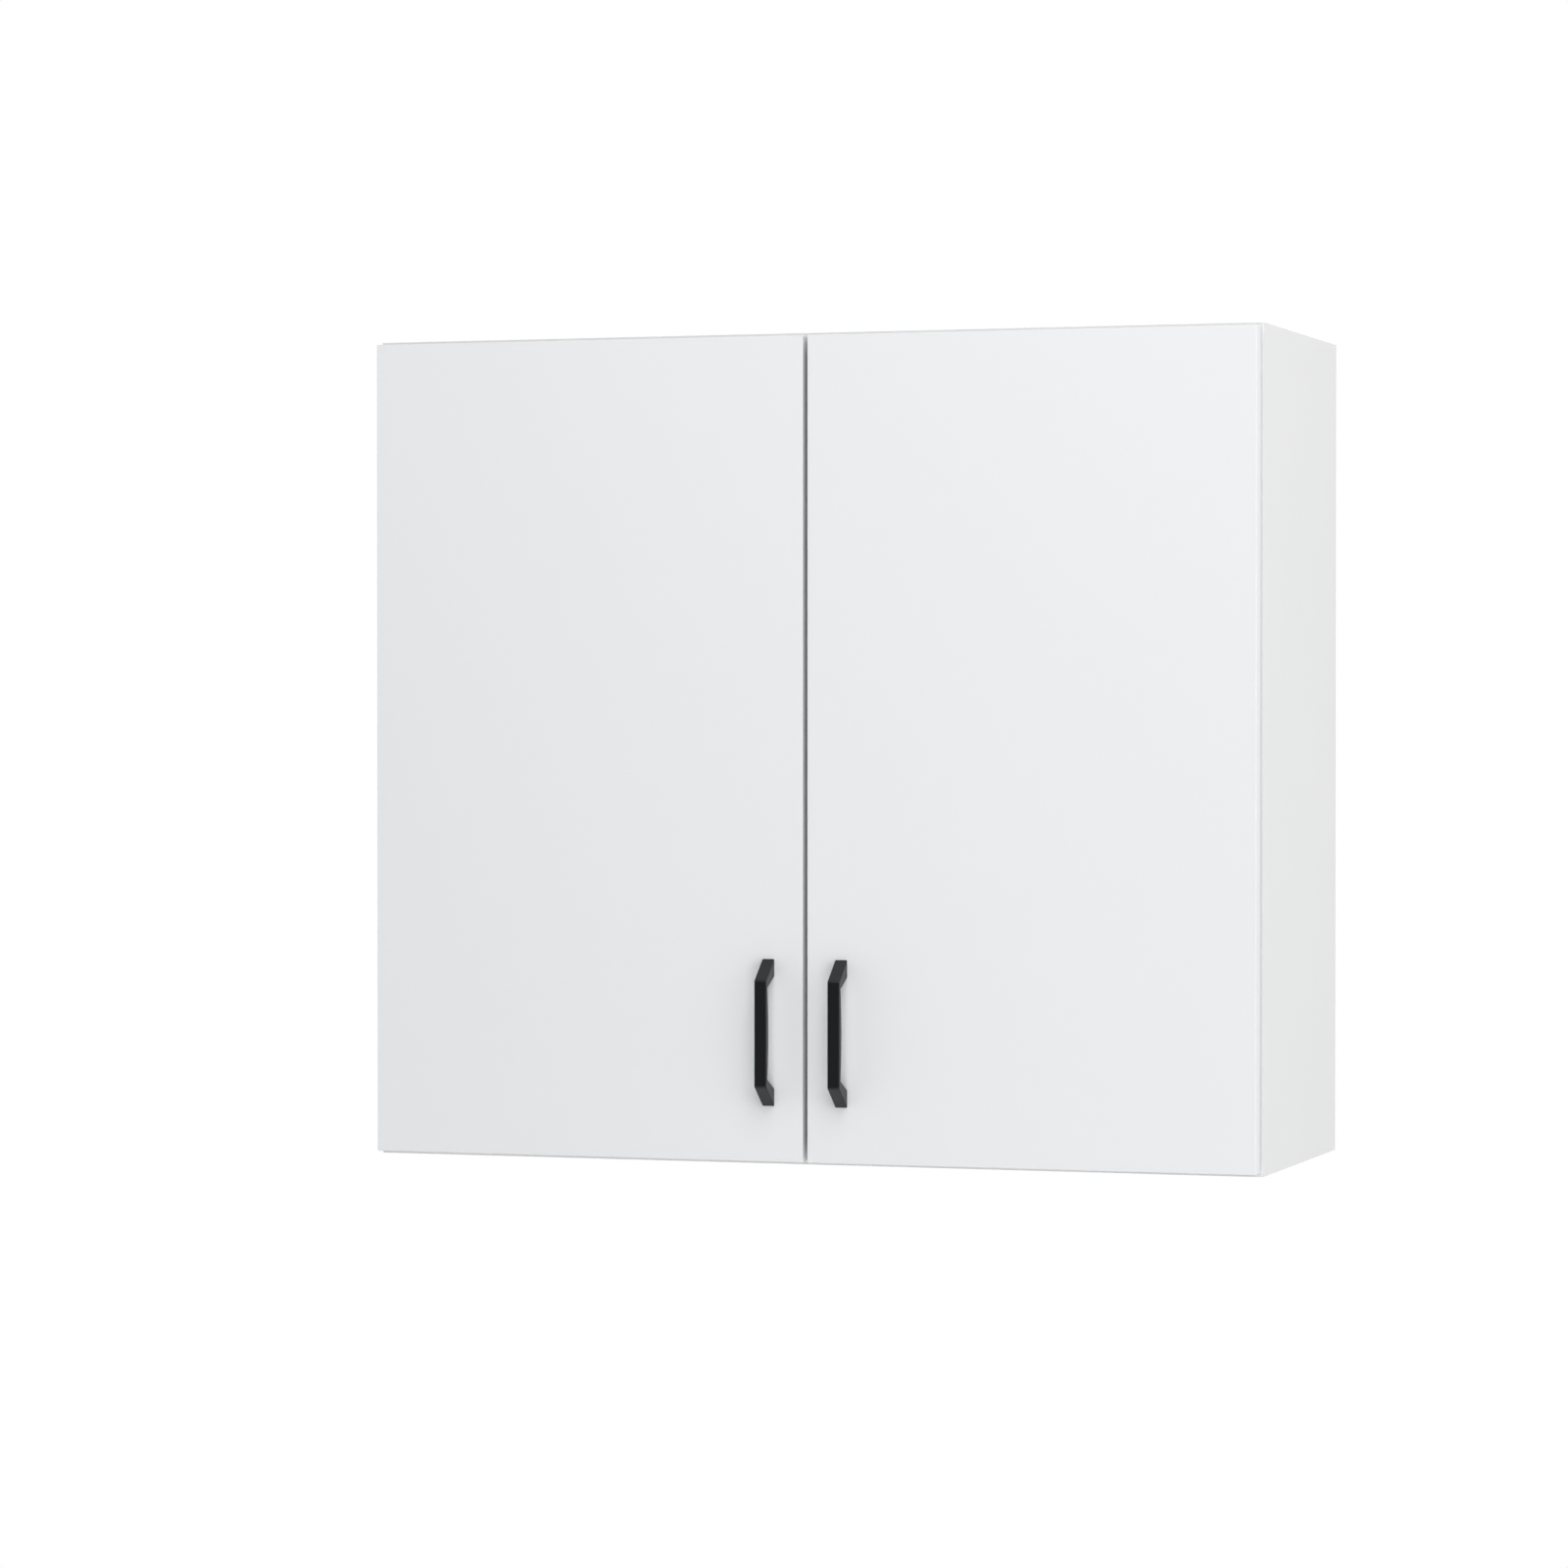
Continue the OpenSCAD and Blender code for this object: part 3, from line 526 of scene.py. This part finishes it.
# Boards: arrises rounded by so many mm, and bare chipboard on the rear edge and wherever the board is cut
boardSettings = {
    "left_side_panel": {"name": "leftSidePanel", "face": "sideMelamine", "arris": 0.5, "segments": 2},
    "right_side_panel": {"name": "rightSidePanel", "face": "sideMelamine", "arris": 0.5, "segments": 2},
    "top_panel": {"name": "topPanel", "face": "boardMelamine", "arris": 0.4, "segments": 2},
    "bottom_panel": {"name": "bottomPanel", "face": "boardMelamine", "arris": 0.4, "segments": 2},
    "shelf": {"name": "shelfBoard", "face": "shelfMelamine", "arris": 0.5, "segments": 2},
    "left_door": {"name": "leftDoor", "face": "doorLacquer", "arris": 1.0, "segments": 4},
    "right_door": {"name": "rightDoor", "face": "doorLacquer", "arris": 1.0, "segments": 4},
}


def makeBoard(node, settings):
    shape = mergedShape(node)
    low, high = boxOfPoints([v.co for v in shape.verts])
    roundEdges(shape, cornerEdges(shape, low, high), settings["arris"] * mm, settings["segments"])
    inside = 1.5 * settings["arris"] * mm  # no face of a rounded arris has its middle this deep
    rearIsBare = "door" not in node
    for face in shape.faces:
        middle = face.calc_center_median()
        isCut = all(low[i] + inside < middle[i] < high[i] - inside for i in range(3))
        isRear = rearIsBare and middle.y > high.y - 0.05 * mm and face.normal.y > 0.9
        face.material_index = 1 if isCut or isRear else 0
    core = "uprightChipboard" if high.z - low.z > high.x - low.x else "levelChipboard"
    finishPiece(settings["name"], meshOf(shape, [settings["face"], core]), [node])


for node, settings in boardSettings.items():
    makeBoard(node, settings)
print("boards and doors made")


def makeBackPanel(node):
    # White foil faces the inside, and the screen side of the hardboard faces the wall
    shape = mergedShape(node)
    for face in shape.faces:
        face.material_index = 0 if face.normal.y < -0.9 else 1
    finishPiece("backPanel", meshOf(shape, ["shelfMelamine", "hardboardRear"]), [node])


makeBackPanel("back_panel")

# Pieces that keep their CAD shape and get rounded edges: by the end of a node's name,
# the width in mm, the segments, and the least angle of an edge that is rounded
roundedSettings = {
    "hinge_plate": (0.3, 2, 30), "hinge_arm": (0.18, 2, 35), "hinge_link": (0.16, 2, 35),
    "hinge_cup": (0.2, 2, 40), "hinge_arm_pins": (0.3, 2, 40), "cup_pins": (0.25, 2, 40),
    "hanger_box": (0.5, 2, 40), "hanger_cover": (0.4, 3, 40), "hanger_hook": (0.3, 2, 30),
    "wall_plate": (0.25, 2, 40), "shelf_pins": (0.6, 3, 40),
    "cam_discs": (0.3, 2, 40), "cam_bolts": (0.3, 2, 40),
}


def camelName(node):
    first, *rest = node.split("_")
    return first + "".join(word.capitalize() for word in rest)


def sharpEdges(shape, leastAngle):
    least = math.radians(leastAngle)
    return [edge for edge in shape.edges if len(edge.link_faces) == 2 and edge.calc_face_angle() > least]


def makeRounded(node, width, segments, leastAngle):
    shape = mergedShape(node)
    roundEdges(shape, sharpEdges(shape, leastAngle), width * mm, segments)
    finishPiece(camelName(node), meshOf(shape, [finishOfSlot[slotOf[node]]]), [node])


for node in cadNodes:
    for ending, values in roundedSettings.items():
        if node.endswith(ending):
            makeRounded(node, *values)
print("hinges and hangers made")

# Handles: the two bends at the front are rounder than the other edges (all in mm and degrees)
handleSettings = {"bend": 1.5, "bendSegments": 6, "arris": 0.9, "arrisSegments": 4, "leastAngle": 20}


def makeHandle(node, settings):
    shape = mergedShape(node)
    near = 0.01 * mm
    front = min(v.co.y for v in shape.verts)
    bends = []
    for edge in shape.edges:
        a, b = [v.co for v in edge.verts]
        if max(a.y, b.y) < front + near and abs(a.z - b.z) < near:
            bends.append(edge)
    roundEdges(shape, bends, settings["bend"] * mm, settings["bendSegments"])
    edges = sharpEdges(shape, settings["leastAngle"])
    roundEdges(shape, edges, settings["arris"] * mm, settings["arrisSegments"])
    finishPiece(camelName(node), meshOf(shape, ["powderCoat"]), [node])


for node in ("left_handle", "right_handle"):
    makeHandle(node, handleSettings)
print("handles made")


# The pieces from here on are made by geometry nodes, and set at the places of the CAD pieces
def looseParts(node):
    # The corners of each separate solid of a node
    shape = mergedShape(node)
    left = set(shape.verts)
    parts = []
    while left:
        group, waiting = set(), [left.pop()]
        while waiting:
            vertex = waiting.pop()
            group.add(vertex)
            for link in vertex.link_edges:
                other = link.other_vert(vertex)
                if other in left:
                    left.remove(other)
                    waiting.append(other)
        parts.append([v.co.copy() for v in group])
    shape.free()
    return sorted(parts, key=lambda points: [round(c, 5) for c in boxOfPoints(points)[0]])


def looseBoxes(node):
    return [boxOfPoints(points) for points in looseParts(node)]


def measureRound(points):
    # Axis, head end and sizes of a turned piece: the wider end counts as its head
    low, high = boxOfPoints(points)
    size = high - low
    axis = min(range(3), key=lambda i: abs(size[(i + 1) % 3] - size[(i + 2) % 3]))
    middle = (low + high) / 2
    across = []
    for p in points:
        outward = Vector([p[i] - middle[i] for i in range(3) if i != axis])
        across.append((p[axis], outward.length))
    headRadius = max(r for _, r in across)
    headLevels = [level for level, r in across if r > 0.9 * headRadius]
    sign = 1 if sum(headLevels) / len(headLevels) > middle[axis] - 1e-9 else -1
    base = min(headLevels) if sign > 0 else max(headLevels)
    tip = low[axis] if sign > 0 else high[axis]
    aim = Vector([sign if i == axis else 0 for i in range(3)])
    place = middle.copy()
    place[axis] = base
    return {"place": place, "aim": aim, "headRadius": headRadius,
            "headHeight": max(headLevels) - min(headLevels),
            "shankRadius": max(r for level, r in across if abs(level - tip) < 0.001 * mm),
            "shankLength": abs(base - tip)}


class PieceTree(Graph):
    # A geometry tree with named inputs, whose result is set at each vertex of an object and turned to its aim
    def __init__(self, name, inputs):
        super().__init__(bpy.data.node_groups.new(name, "GeometryNodeTree"))
        self.tree.interface.new_socket(name="Places", in_out="INPUT", socket_type="NodeSocketGeometry")
        for label, kind in inputs.items():
            self.tree.interface.new_socket(name=label, in_out="INPUT", socket_type="NodeSocket" + kind)
        self.tree.interface.new_socket(name="Finish", in_out="INPUT", socket_type="NodeSocketMaterial")
        self.tree.interface.new_socket(name="Pieces", in_out="OUTPUT", socket_type="NodeSocketGeometry")
        self.source = self.add("NodeGroupInput")

    def input(self, label):
        return self.source.also(label)

    def position(self):
        return self.axes(self.add("GeometryNodeInputPosition"))

    def move(self, geometry, x, y, z):
        sockets = {"Geometry": geometry, "Position": self.join(x, y, z)}
        return self.add("GeometryNodeSetPosition", None, sockets)

    def shift(self, geometry, x, y, z):
        sockets = {"Geometry": geometry, "Translation": self.join(x, y, z)}
        return self.add("GeometryNodeTransform", None, sockets)

    def cut(self, body, cutters):
        settings = {"operation": "DIFFERENCE", "solver": "EXACT"}
        return self.add("GeometryNodeMeshBoolean", settings, {"Mesh 1": body, "Mesh 2": cutters})

    def setAtPlaces(self, parts):
        piece = self.add("GeometryNodeJoinGeometry", None, {"Geometry": parts[::-1]})
        aim = self.add("GeometryNodeInputNamedAttribute", {"data_type": "FLOAT_VECTOR"}, {"Name": "aim"})
        turn = self.add("FunctionNodeAlignRotationToVector", {"axis": "Z"}, {"Vector": aim})
        made = self.add("GeometryNodeInstanceOnPoints", None,
                        {"Points": self.source, "Instance": piece, "Rotation": turn})
        made = self.add("GeometryNodeRealizeInstances", None, {"Geometry": made})
        made = self.add("GeometryNodeSetMaterial", None, {"Geometry": made, "Material": self.input("Finish")})
        self.add("NodeGroupOutput", None, {0: made})
        return self.tree


def growPieces(name, tree, places, values, finish, standsFor):
    # Runs the tree on one vertex for each place, and keeps the result as a plain mesh
    mesh = bpy.data.meshes.new(name + "Places")
    mesh.from_pydata([p["place"] for p in places], [], [])
    aims = mesh.attributes.new("aim", "FLOAT_VECTOR", "POINT")
    aims.data.foreach_set("vector", [c for p in places for c in p["aim"]])
    holder = bpy.data.objects.new(name + "Places", mesh)
    bpy.context.scene.collection.objects.link(holder)
    modifier = holder.modifiers.new(tree.name, "NODES")
    modifier.node_group = tree
    values = {**values, "Finish": finishes[finish]}
    for item in tree.interface.items_tree:
        if item.item_type == "SOCKET" and item.in_out == "INPUT" and item.name in values:
            modifier[item.identifier] = values[item.name]
    evaluated = holder.evaluated_get(bpy.context.evaluated_depsgraph_get())
    made = bpy.data.meshes.new_from_object(evaluated)
    holder.modifiers.remove(modifier)
    bpy.data.objects.remove(holder)
    return finishPiece(name, made, standsFor)


# Shares of the head's radius and height, and what is left of the shank at its tip
headShape = {"fullness": 0.55, "slotLength": 1.2, "slotWidth": 0.3, "slotMiddle": 0.85, "slotFoot": 0.55,
             "tipShare": 0.15}


def screwTree(shape):
    # A pan head with a cross recess, over a shank whose thread is one winding ridge that runs out at the tip
    g = PieceTree("crossScrew", {"Head Radius": "Float", "Head Height": "Float", "Shank Radius": "Float",
                                 "Shank Length": "Float", "Thread Pitch": "Float", "Thread Depth": "Float",
                                 "Tip Length": "Float", "Shank Rings": "Int"})
    headRadius, headHeight = g.input("Head Radius"), g.input("Head Height")
    x, y, z = g.position()
    head = g.add("GeometryNodeMeshUVSphere", None, {"Segments": 32, "Rings": 20, "Radius": 1.0})
    level = g.maths("MAXIMUM", z, 0.0) ** shape["fullness"]
    head = g.move(head, x * headRadius, y * headRadius, level * headHeight)
    slots = []
    for turn in (0, math.pi / 2):
        slot = g.add("GeometryNodeMeshCube", None, {"Size": (1, 1, 1), "Vertices Z": 3})
        taper = shape["slotFoot"] + (1 - shape["slotFoot"]) * (z + 0.5)
        slotX = x * taper * headRadius * shape["slotLength"]
        slotY = y * taper * headRadius * shape["slotWidth"]
        slot = g.move(slot, slotX, slotY, (z + shape["slotMiddle"]) * headHeight)
        slots.append(g.add("GeometryNodeTransform", None, {"Geometry": slot, "Rotation": (0, 0, turn)}))
    head = g.cut(head, slots)
    shank = g.add("GeometryNodeMeshCylinder", None,
                  {"Vertices": 18, "Side Segments": g.input("Shank Rings"), "Radius": 1.0, "Depth": 1.0})
    depth = (0.5 - z) * g.input("Shank Length")
    winding = g.maths("FRACT", depth / g.input("Thread Pitch") - g.maths("ARCTAN2", y, x) / (2 * math.pi))
    valley = g.maths("ABSOLUTE", 2 * winding - 1)
    radius = g.input("Shank Radius") - g.input("Thread Depth") * valley
    fromTip = g.input("Shank Length") - depth
    radius = radius * g.spread(fromTip / g.input("Tip Length"), 0.0, 1.0, shape["tipShare"], 1.0, "LINEAR")
    shank = g.move(shank, x * radius, y * radius, 0 - depth)
    return g.setAtPlaces([head, shank])


# Pitch of the thread and length of the tip, in mm
screwSettings = {
    "hinge_plate_screws": [{"name": "hingePlateScrews", "pitch": 1.7, "tip": 4.0, "finish": "nickelPlate"}],
    "hinge_arm_screws": [{"name": "hingeArmScrews", "pitch": 0.8, "tip": 0.6, "finish": "nickelPlate"},
                         {"name": "hingeAdjusters", "pitch": 0.7, "tip": 0.4, "finish": "nickelPlate"}],
    "left_cup_screws": [{"name": "leftCupScrews", "pitch": 1.7, "tip": 4.0, "finish": "nickelPlate"}],
    "right_cup_screws": [{"name": "rightCupScrews", "pitch": 1.7, "tip": 4.0, "finish": "nickelPlate"}],
    "hanger_screws": [{"name": "hangerScrews", "pitch": 1.8, "tip": 5.0, "finish": "zincPlate"}],
    "hanger_adjusters": [{"name": "hangerAdjusters", "pitch": 0.7, "tip": 0.5, "finish": "zincPlate"}],
    "left_handle_screws": [{"name": "leftHandleScrews", "pitch": 0.7, "tip": 0.6, "finish": "zincPlate"}],
    "right_handle_screws": [{"name": "rightHandleScrews", "pitch": 0.7, "tip": 0.6, "finish": "zincPlate"}],
}


threadSettings = {"depth": 0.3, "ringsPerTurn": 6}  # the depth is a share of the pitch


def makeScrews(tree, node, sets, thread):
    # Screws of one size form one set, the widest heads first
    places = [measureRound(points) for points in looseParts(node)]
    sizes = sorted({round(p["headRadius"], 5) for p in places}, reverse=True)
    for size, settings in zip(sizes, sets):
        same = [p for p in places if round(p["headRadius"], 5) == size]
        first = same[0]
        pitch = settings["pitch"] * mm
        values = {"Head Radius": first["headRadius"], "Head Height": first["headHeight"],
                  "Shank Radius": first["shankRadius"], "Shank Length": first["shankLength"],
                  "Thread Pitch": pitch, "Thread Depth": settings["pitch"] * thread["depth"] * mm,
                  "Tip Length": settings["tip"] * mm,
                  "Shank Rings": max(4, round(first["shankLength"] / pitch * thread["ringsPerTurn"]))}
        growPieces(settings["name"], tree, same, values, settings["finish"], [node])


crossScrew = screwTree(headShape)
for node, sets in screwSettings.items():
    makeScrews(crossScrew, node, sets, threadSettings)
print("screws made")


def coilTree():
    # A closing spring: round wire wound close around the cup pin
    g = PieceTree("closingSpring", {"Coil Radius": "Float", "Wire Radius": "Float", "Turns": "Float",
                                    "Length": "Float"})
    wireRadius = g.input("Wire Radius")
    length = g.input("Length") - 2 * wireRadius
    path = g.add("GeometryNodeCurveSpiral", None, {
        "Resolution": 28, "Rotations": g.input("Turns"), "Start Radius": g.input("Coil Radius"),
        "End Radius": g.input("Coil Radius"), "Height": length})
    section = g.add("GeometryNodeCurvePrimitiveCircle", None, {"Resolution": 10, "Radius": wireRadius})
    sockets = {"Curve": path, "Profile Curve": section, "Fill Caps": True}
    wire = g.add("GeometryNodeCurveToMesh", None, sockets)
    return g.setAtPlaces([g.shift(wire, 0.0, 0.0, length * -0.5)])


springShape = {"wireRadius": 0.44 * mm, "turns": 6.0}


def makeSprings(tree, name, node, settings):
    boxes = looseBoxes(node)
    places = [{"place": (low + high) / 2, "aim": Vector((0, 0, 1))} for low, high in boxes]
    size = boxes[-1][1] - boxes[-1][0]
    values = {"Wire Radius": settings["wireRadius"], "Coil Radius": size.x / 2 - settings["wireRadius"],
              "Turns": settings["turns"], "Length": size.z}
    growPieces(name, tree, places, values, "springWire", [node])


closingSpring = coilTree()
for side in ("left", "right"):
    makeSprings(closingSpring, side + "ClosingSprings", side + "_cup_springs", springShape)


dowelSettings = {"flutes": 20, "fluteDepth": 0.25 * mm, "chamfer": 1.2 * mm, "steepness": 0.7}


def dowelTree(steepness):
    # A dowel with glue flutes along it and chamfered ends
    g = PieceTree("flutedDowel", {"Radius": "Float", "Length": "Float", "Flutes": "Int",
                                  "Flute Depth": "Float", "Chamfer": "Float"})
    x, y, z = g.position()
    rod = g.add("GeometryNodeMeshCylinder", None,
                {"Vertices": 120, "Side Segments": 24, "Radius": 1.0, "Depth": 1.0})
    # rings are drawn together towards the ends, where the chamfer is
    along = g.maths("SINE", z * math.pi) * 0.5
    toEnd = (0.5 - g.maths("ABSOLUTE", along)) * g.input("Length")
    chamfer = g.input("Chamfer") - g.maths("MINIMUM", toEnd, g.input("Chamfer"))
    flute = 0.5 - 0.5 * g.maths("COSINE", g.maths("ARCTAN2", y, x) * g.input("Flutes"))
    radius = g.input("Radius") - g.input("Flute Depth") * flute - chamfer * steepness
    return g.setAtPlaces([g.move(rod, x * radius, y * radius, along * g.input("Length"))])


def makeDowels(tree, name, node, settings):
    boxes = looseBoxes(node)
    places = [{"place": (low + high) / 2, "aim": Vector((1, 0, 0))} for low, high in boxes]
    size = boxes[-1][1] - boxes[-1][0]
    values = {"Radius": size.z / 2, "Length": size.x, "Flutes": settings["flutes"],
              "Flute Depth": settings["fluteDepth"], "Chamfer": settings["chamfer"]}
    growPieces(name, tree, places, values, "beechWood", [node])


makeDowels(dowelTree(dowelSettings["steepness"]), "dowels", "dowels", dowelSettings)


capSettings = {"rim": 0.35 * mm, "rimTurn": 0.96, "notch": 1.1 * mm, "notchWidth": 1.6}


def capTree(rimTurn, notchWidth):
    # A push-in cover cap: a rounded rim, and a small notch to lift it by
    g = PieceTree("coverCap", {"Radius": "Float", "Height": "Float", "Rim": "Float", "Notch": "Float"})
    x, y, z = g.position()
    disc = g.add("GeometryNodeMeshCylinder", None,
                 {"Vertices": 64, "Side Segments": 12, "Radius": 1.0, "Depth": 1.0})
    level = (z + 0.5) * g.input("Height")
    intoRim = g.maths("MAXIMUM", level - (g.input("Height") - g.input("Rim")), 0.0) / g.input("Rim")
    pull = g.input("Rim") * (1 - g.maths("SQRT", 1 - intoRim * intoRim * rimTurn))
    radius = g.input("Radius") - pull
    disc = g.move(disc, x * radius, y * radius, level)
    notch = g.add("GeometryNodeMeshCube", None, {"Size": (1, 1, 1)})
    size = g.input("Notch")
    notch = g.move(notch, x * size, (y * notchWidth) * size, z * size)
    notch = g.shift(notch, g.input("Radius"), 0.0, g.input("Height"))
    return g.setAtPlaces([g.cut(disc, [notch])])


def makeCaps(tree, name, node, settings):
    places = []
    for low, high in looseBoxes(node):
        middle = (low + high) / 2
        isTop = middle.z > cabinetTop / 2
        places.append({"place": Vector((middle.x, middle.y, low.z if isTop else high.z)),
                       "aim": Vector((0, 0, 1 if isTop else -1))})
    size = high - low
    values = {"Radius": size.x / 2, "Height": size.z, "Rim": settings["rim"], "Notch": settings["notch"]}
    growPieces(name, tree, places, values, "mouldedPlastic", [node])


makeCaps(capTree(capSettings["rimTurn"], capSettings["notchWidth"]), "camCaps", "cam_caps", capSettings)


def bumperTree():
    # A soft domed dot stuck to the back of a door
    g = PieceTree("doorBumper", {"Radius": "Float", "Height": "Float", "Fullness": "Float"})
    x, y, z = g.position()
    dome = g.add("GeometryNodeMeshUVSphere", None, {"Segments": 48, "Rings": 24, "Radius": 1.0})
    radius = g.input("Radius")
    level = g.maths("MAXIMUM", z, 0.0) ** g.input("Fullness")
    return g.setAtPlaces([g.move(dome, x * radius, y * radius, level * g.input("Height"))])


bumperShape = {"fullness": 0.7}


def makeBumpers(tree, name, node, settings):
    places = []
    for low, high in looseBoxes(node):
        middle = (low + high) / 2
        places.append({"place": Vector((middle.x, low.y, middle.z)), "aim": Vector((0, 1, 0))})
    size = high - low
    values = {"Radius": size.x / 2, "Height": size.y, "Fullness": settings["fullness"]}
    growPieces(name, tree, places, values, "clearPlastic", [node])


doorBumper = bumperTree()
for side in ("left", "right"):
    makeBumpers(doorBumper, side + "Bumpers", side + "_bumpers", bumperShape)
print("springs, dowels, caps and bumpers made")

# Studio: a pale floor well below the cabinet that fades out, soft lamps on the right, above and below,
# and a white surround
floorSettings = {
    "radius": 4.5, "level": -1.8, "fadeFrom": 1.6, "fadeTo": 4.41,
    "pale": (0.93, 0.93, 0.93), "shade": (0.90, 0.90, 0.90), "cloudScale": 3, "grainScale": 200,
    "roughness": 0.6, "cloudRoughness": 0.1, "bumpStrength": 0.05, "bumpHeight": 0.2 * mm,
}
lampSettings = {
    "rightLamp": {"place": (2.4, -2.2, 0.9), "size": 1.8, "power": 10},
    "upperLamp": {"place": (0.8, -2.6, 2.9), "size": 2.4, "power": 77},
    "lowerLamp": {"place": (0.7, -2.6, -1.5), "size": 1.6, "power": 31},
}
surroundSettings = {"seen": 1.0, "around": 1.02, "ahead": 0.04, "above": 0.42,
                    "aheadFade": (-0.95, -0.45), "aboveFade": (0.35, 0.85)}


def floorPaint(graph, place, settings):
    clouds = graph.noise(place, settings["cloudScale"], 3)
    grain = graph.noise(place, settings["grainScale"], 2)
    x, y, _ = graph.axes(place)
    fromMiddle = graph.maths("SQRT", x * x + y * y)
    return {"Base Color": graph.mixColour(clouds, settings["pale"], settings["shade"]),
            "Roughness": settings["roughness"] + settings["cloudRoughness"] * clouds,
            "Normal": graph.bump(grain, settings["bumpStrength"], settings["bumpHeight"]),
            "Alpha": graph.spread(fromMiddle, settings["fadeFrom"], settings["fadeTo"], 1.0, 0.0)}


def makeFloor(settings):
    shape = bmesh.new()
    bmesh.ops.create_circle(shape, cap_ends=True, segments=96, radius=settings["radius"])
    bmesh.ops.translate(shape, verts=shape.verts, vec=(0, 0, settings["level"]))
    mesh = bpy.data.meshes.new("studioFloor")
    shape.to_mesh(mesh)
    shape.free()
    mesh.materials.append(makeMaterial("floorPaint", floorPaint, settings))
    floor = bpy.data.objects.new("studioFloor", mesh)
    bpy.context.scene.collection.objects.link(floor)


def makeLamps(allSettings, target):
    for name, settings in allSettings.items():
        data = bpy.data.lights.new(name, "AREA")
        data.shape = "SQUARE"
        data.size = settings["size"]
        data.energy = settings["power"]
        lamp = bpy.data.objects.new(name, data)
        lamp.location = settings["place"]
        lamp.rotation_euler = (target - lamp.location).to_track_quat("-Z", "Y").to_euler()
        lamp.visible_camera = False
        bpy.context.scene.collection.objects.link(lamp)


def makeSurround(settings):
    world = bpy.data.worlds.new("studioSurround")
    world.use_nodes = True
    graph = Graph(world.node_tree)
    graph.tree.nodes.clear()
    _, heading, climb = graph.axes(graph.add("ShaderNodeTexCoord", None, None, "Generated"))
    # the side that the doors face is dimmer, so that the handles keep dark fronts and light sides
    light = graph.spread(heading, *settings["aheadFade"], settings["ahead"], settings["around"])
    # and so is the light from above, which falls on the top panel
    light = light * graph.spread(climb, *settings["aboveFade"], 1.0, settings["above"])
    seen = graph.add("ShaderNodeLightPath", None, None, "Is Camera Ray")
    strength = seen * settings["seen"] + (1 - seen) * light
    paint = graph.add("ShaderNodeBackground", None, {"Color": (1, 1, 1, 1), "Strength": strength})
    graph.add("ShaderNodeOutputWorld", None, {"Surface": paint})
    bpy.context.scene.world = world


makeFloor(floorSettings)
makeLamps(lampSettings, (cadLow + cadHigh) / 2)
makeSurround(surroundSettings)
bpy.context.scene.view_settings.view_transform = "Standard"
print("studio made")
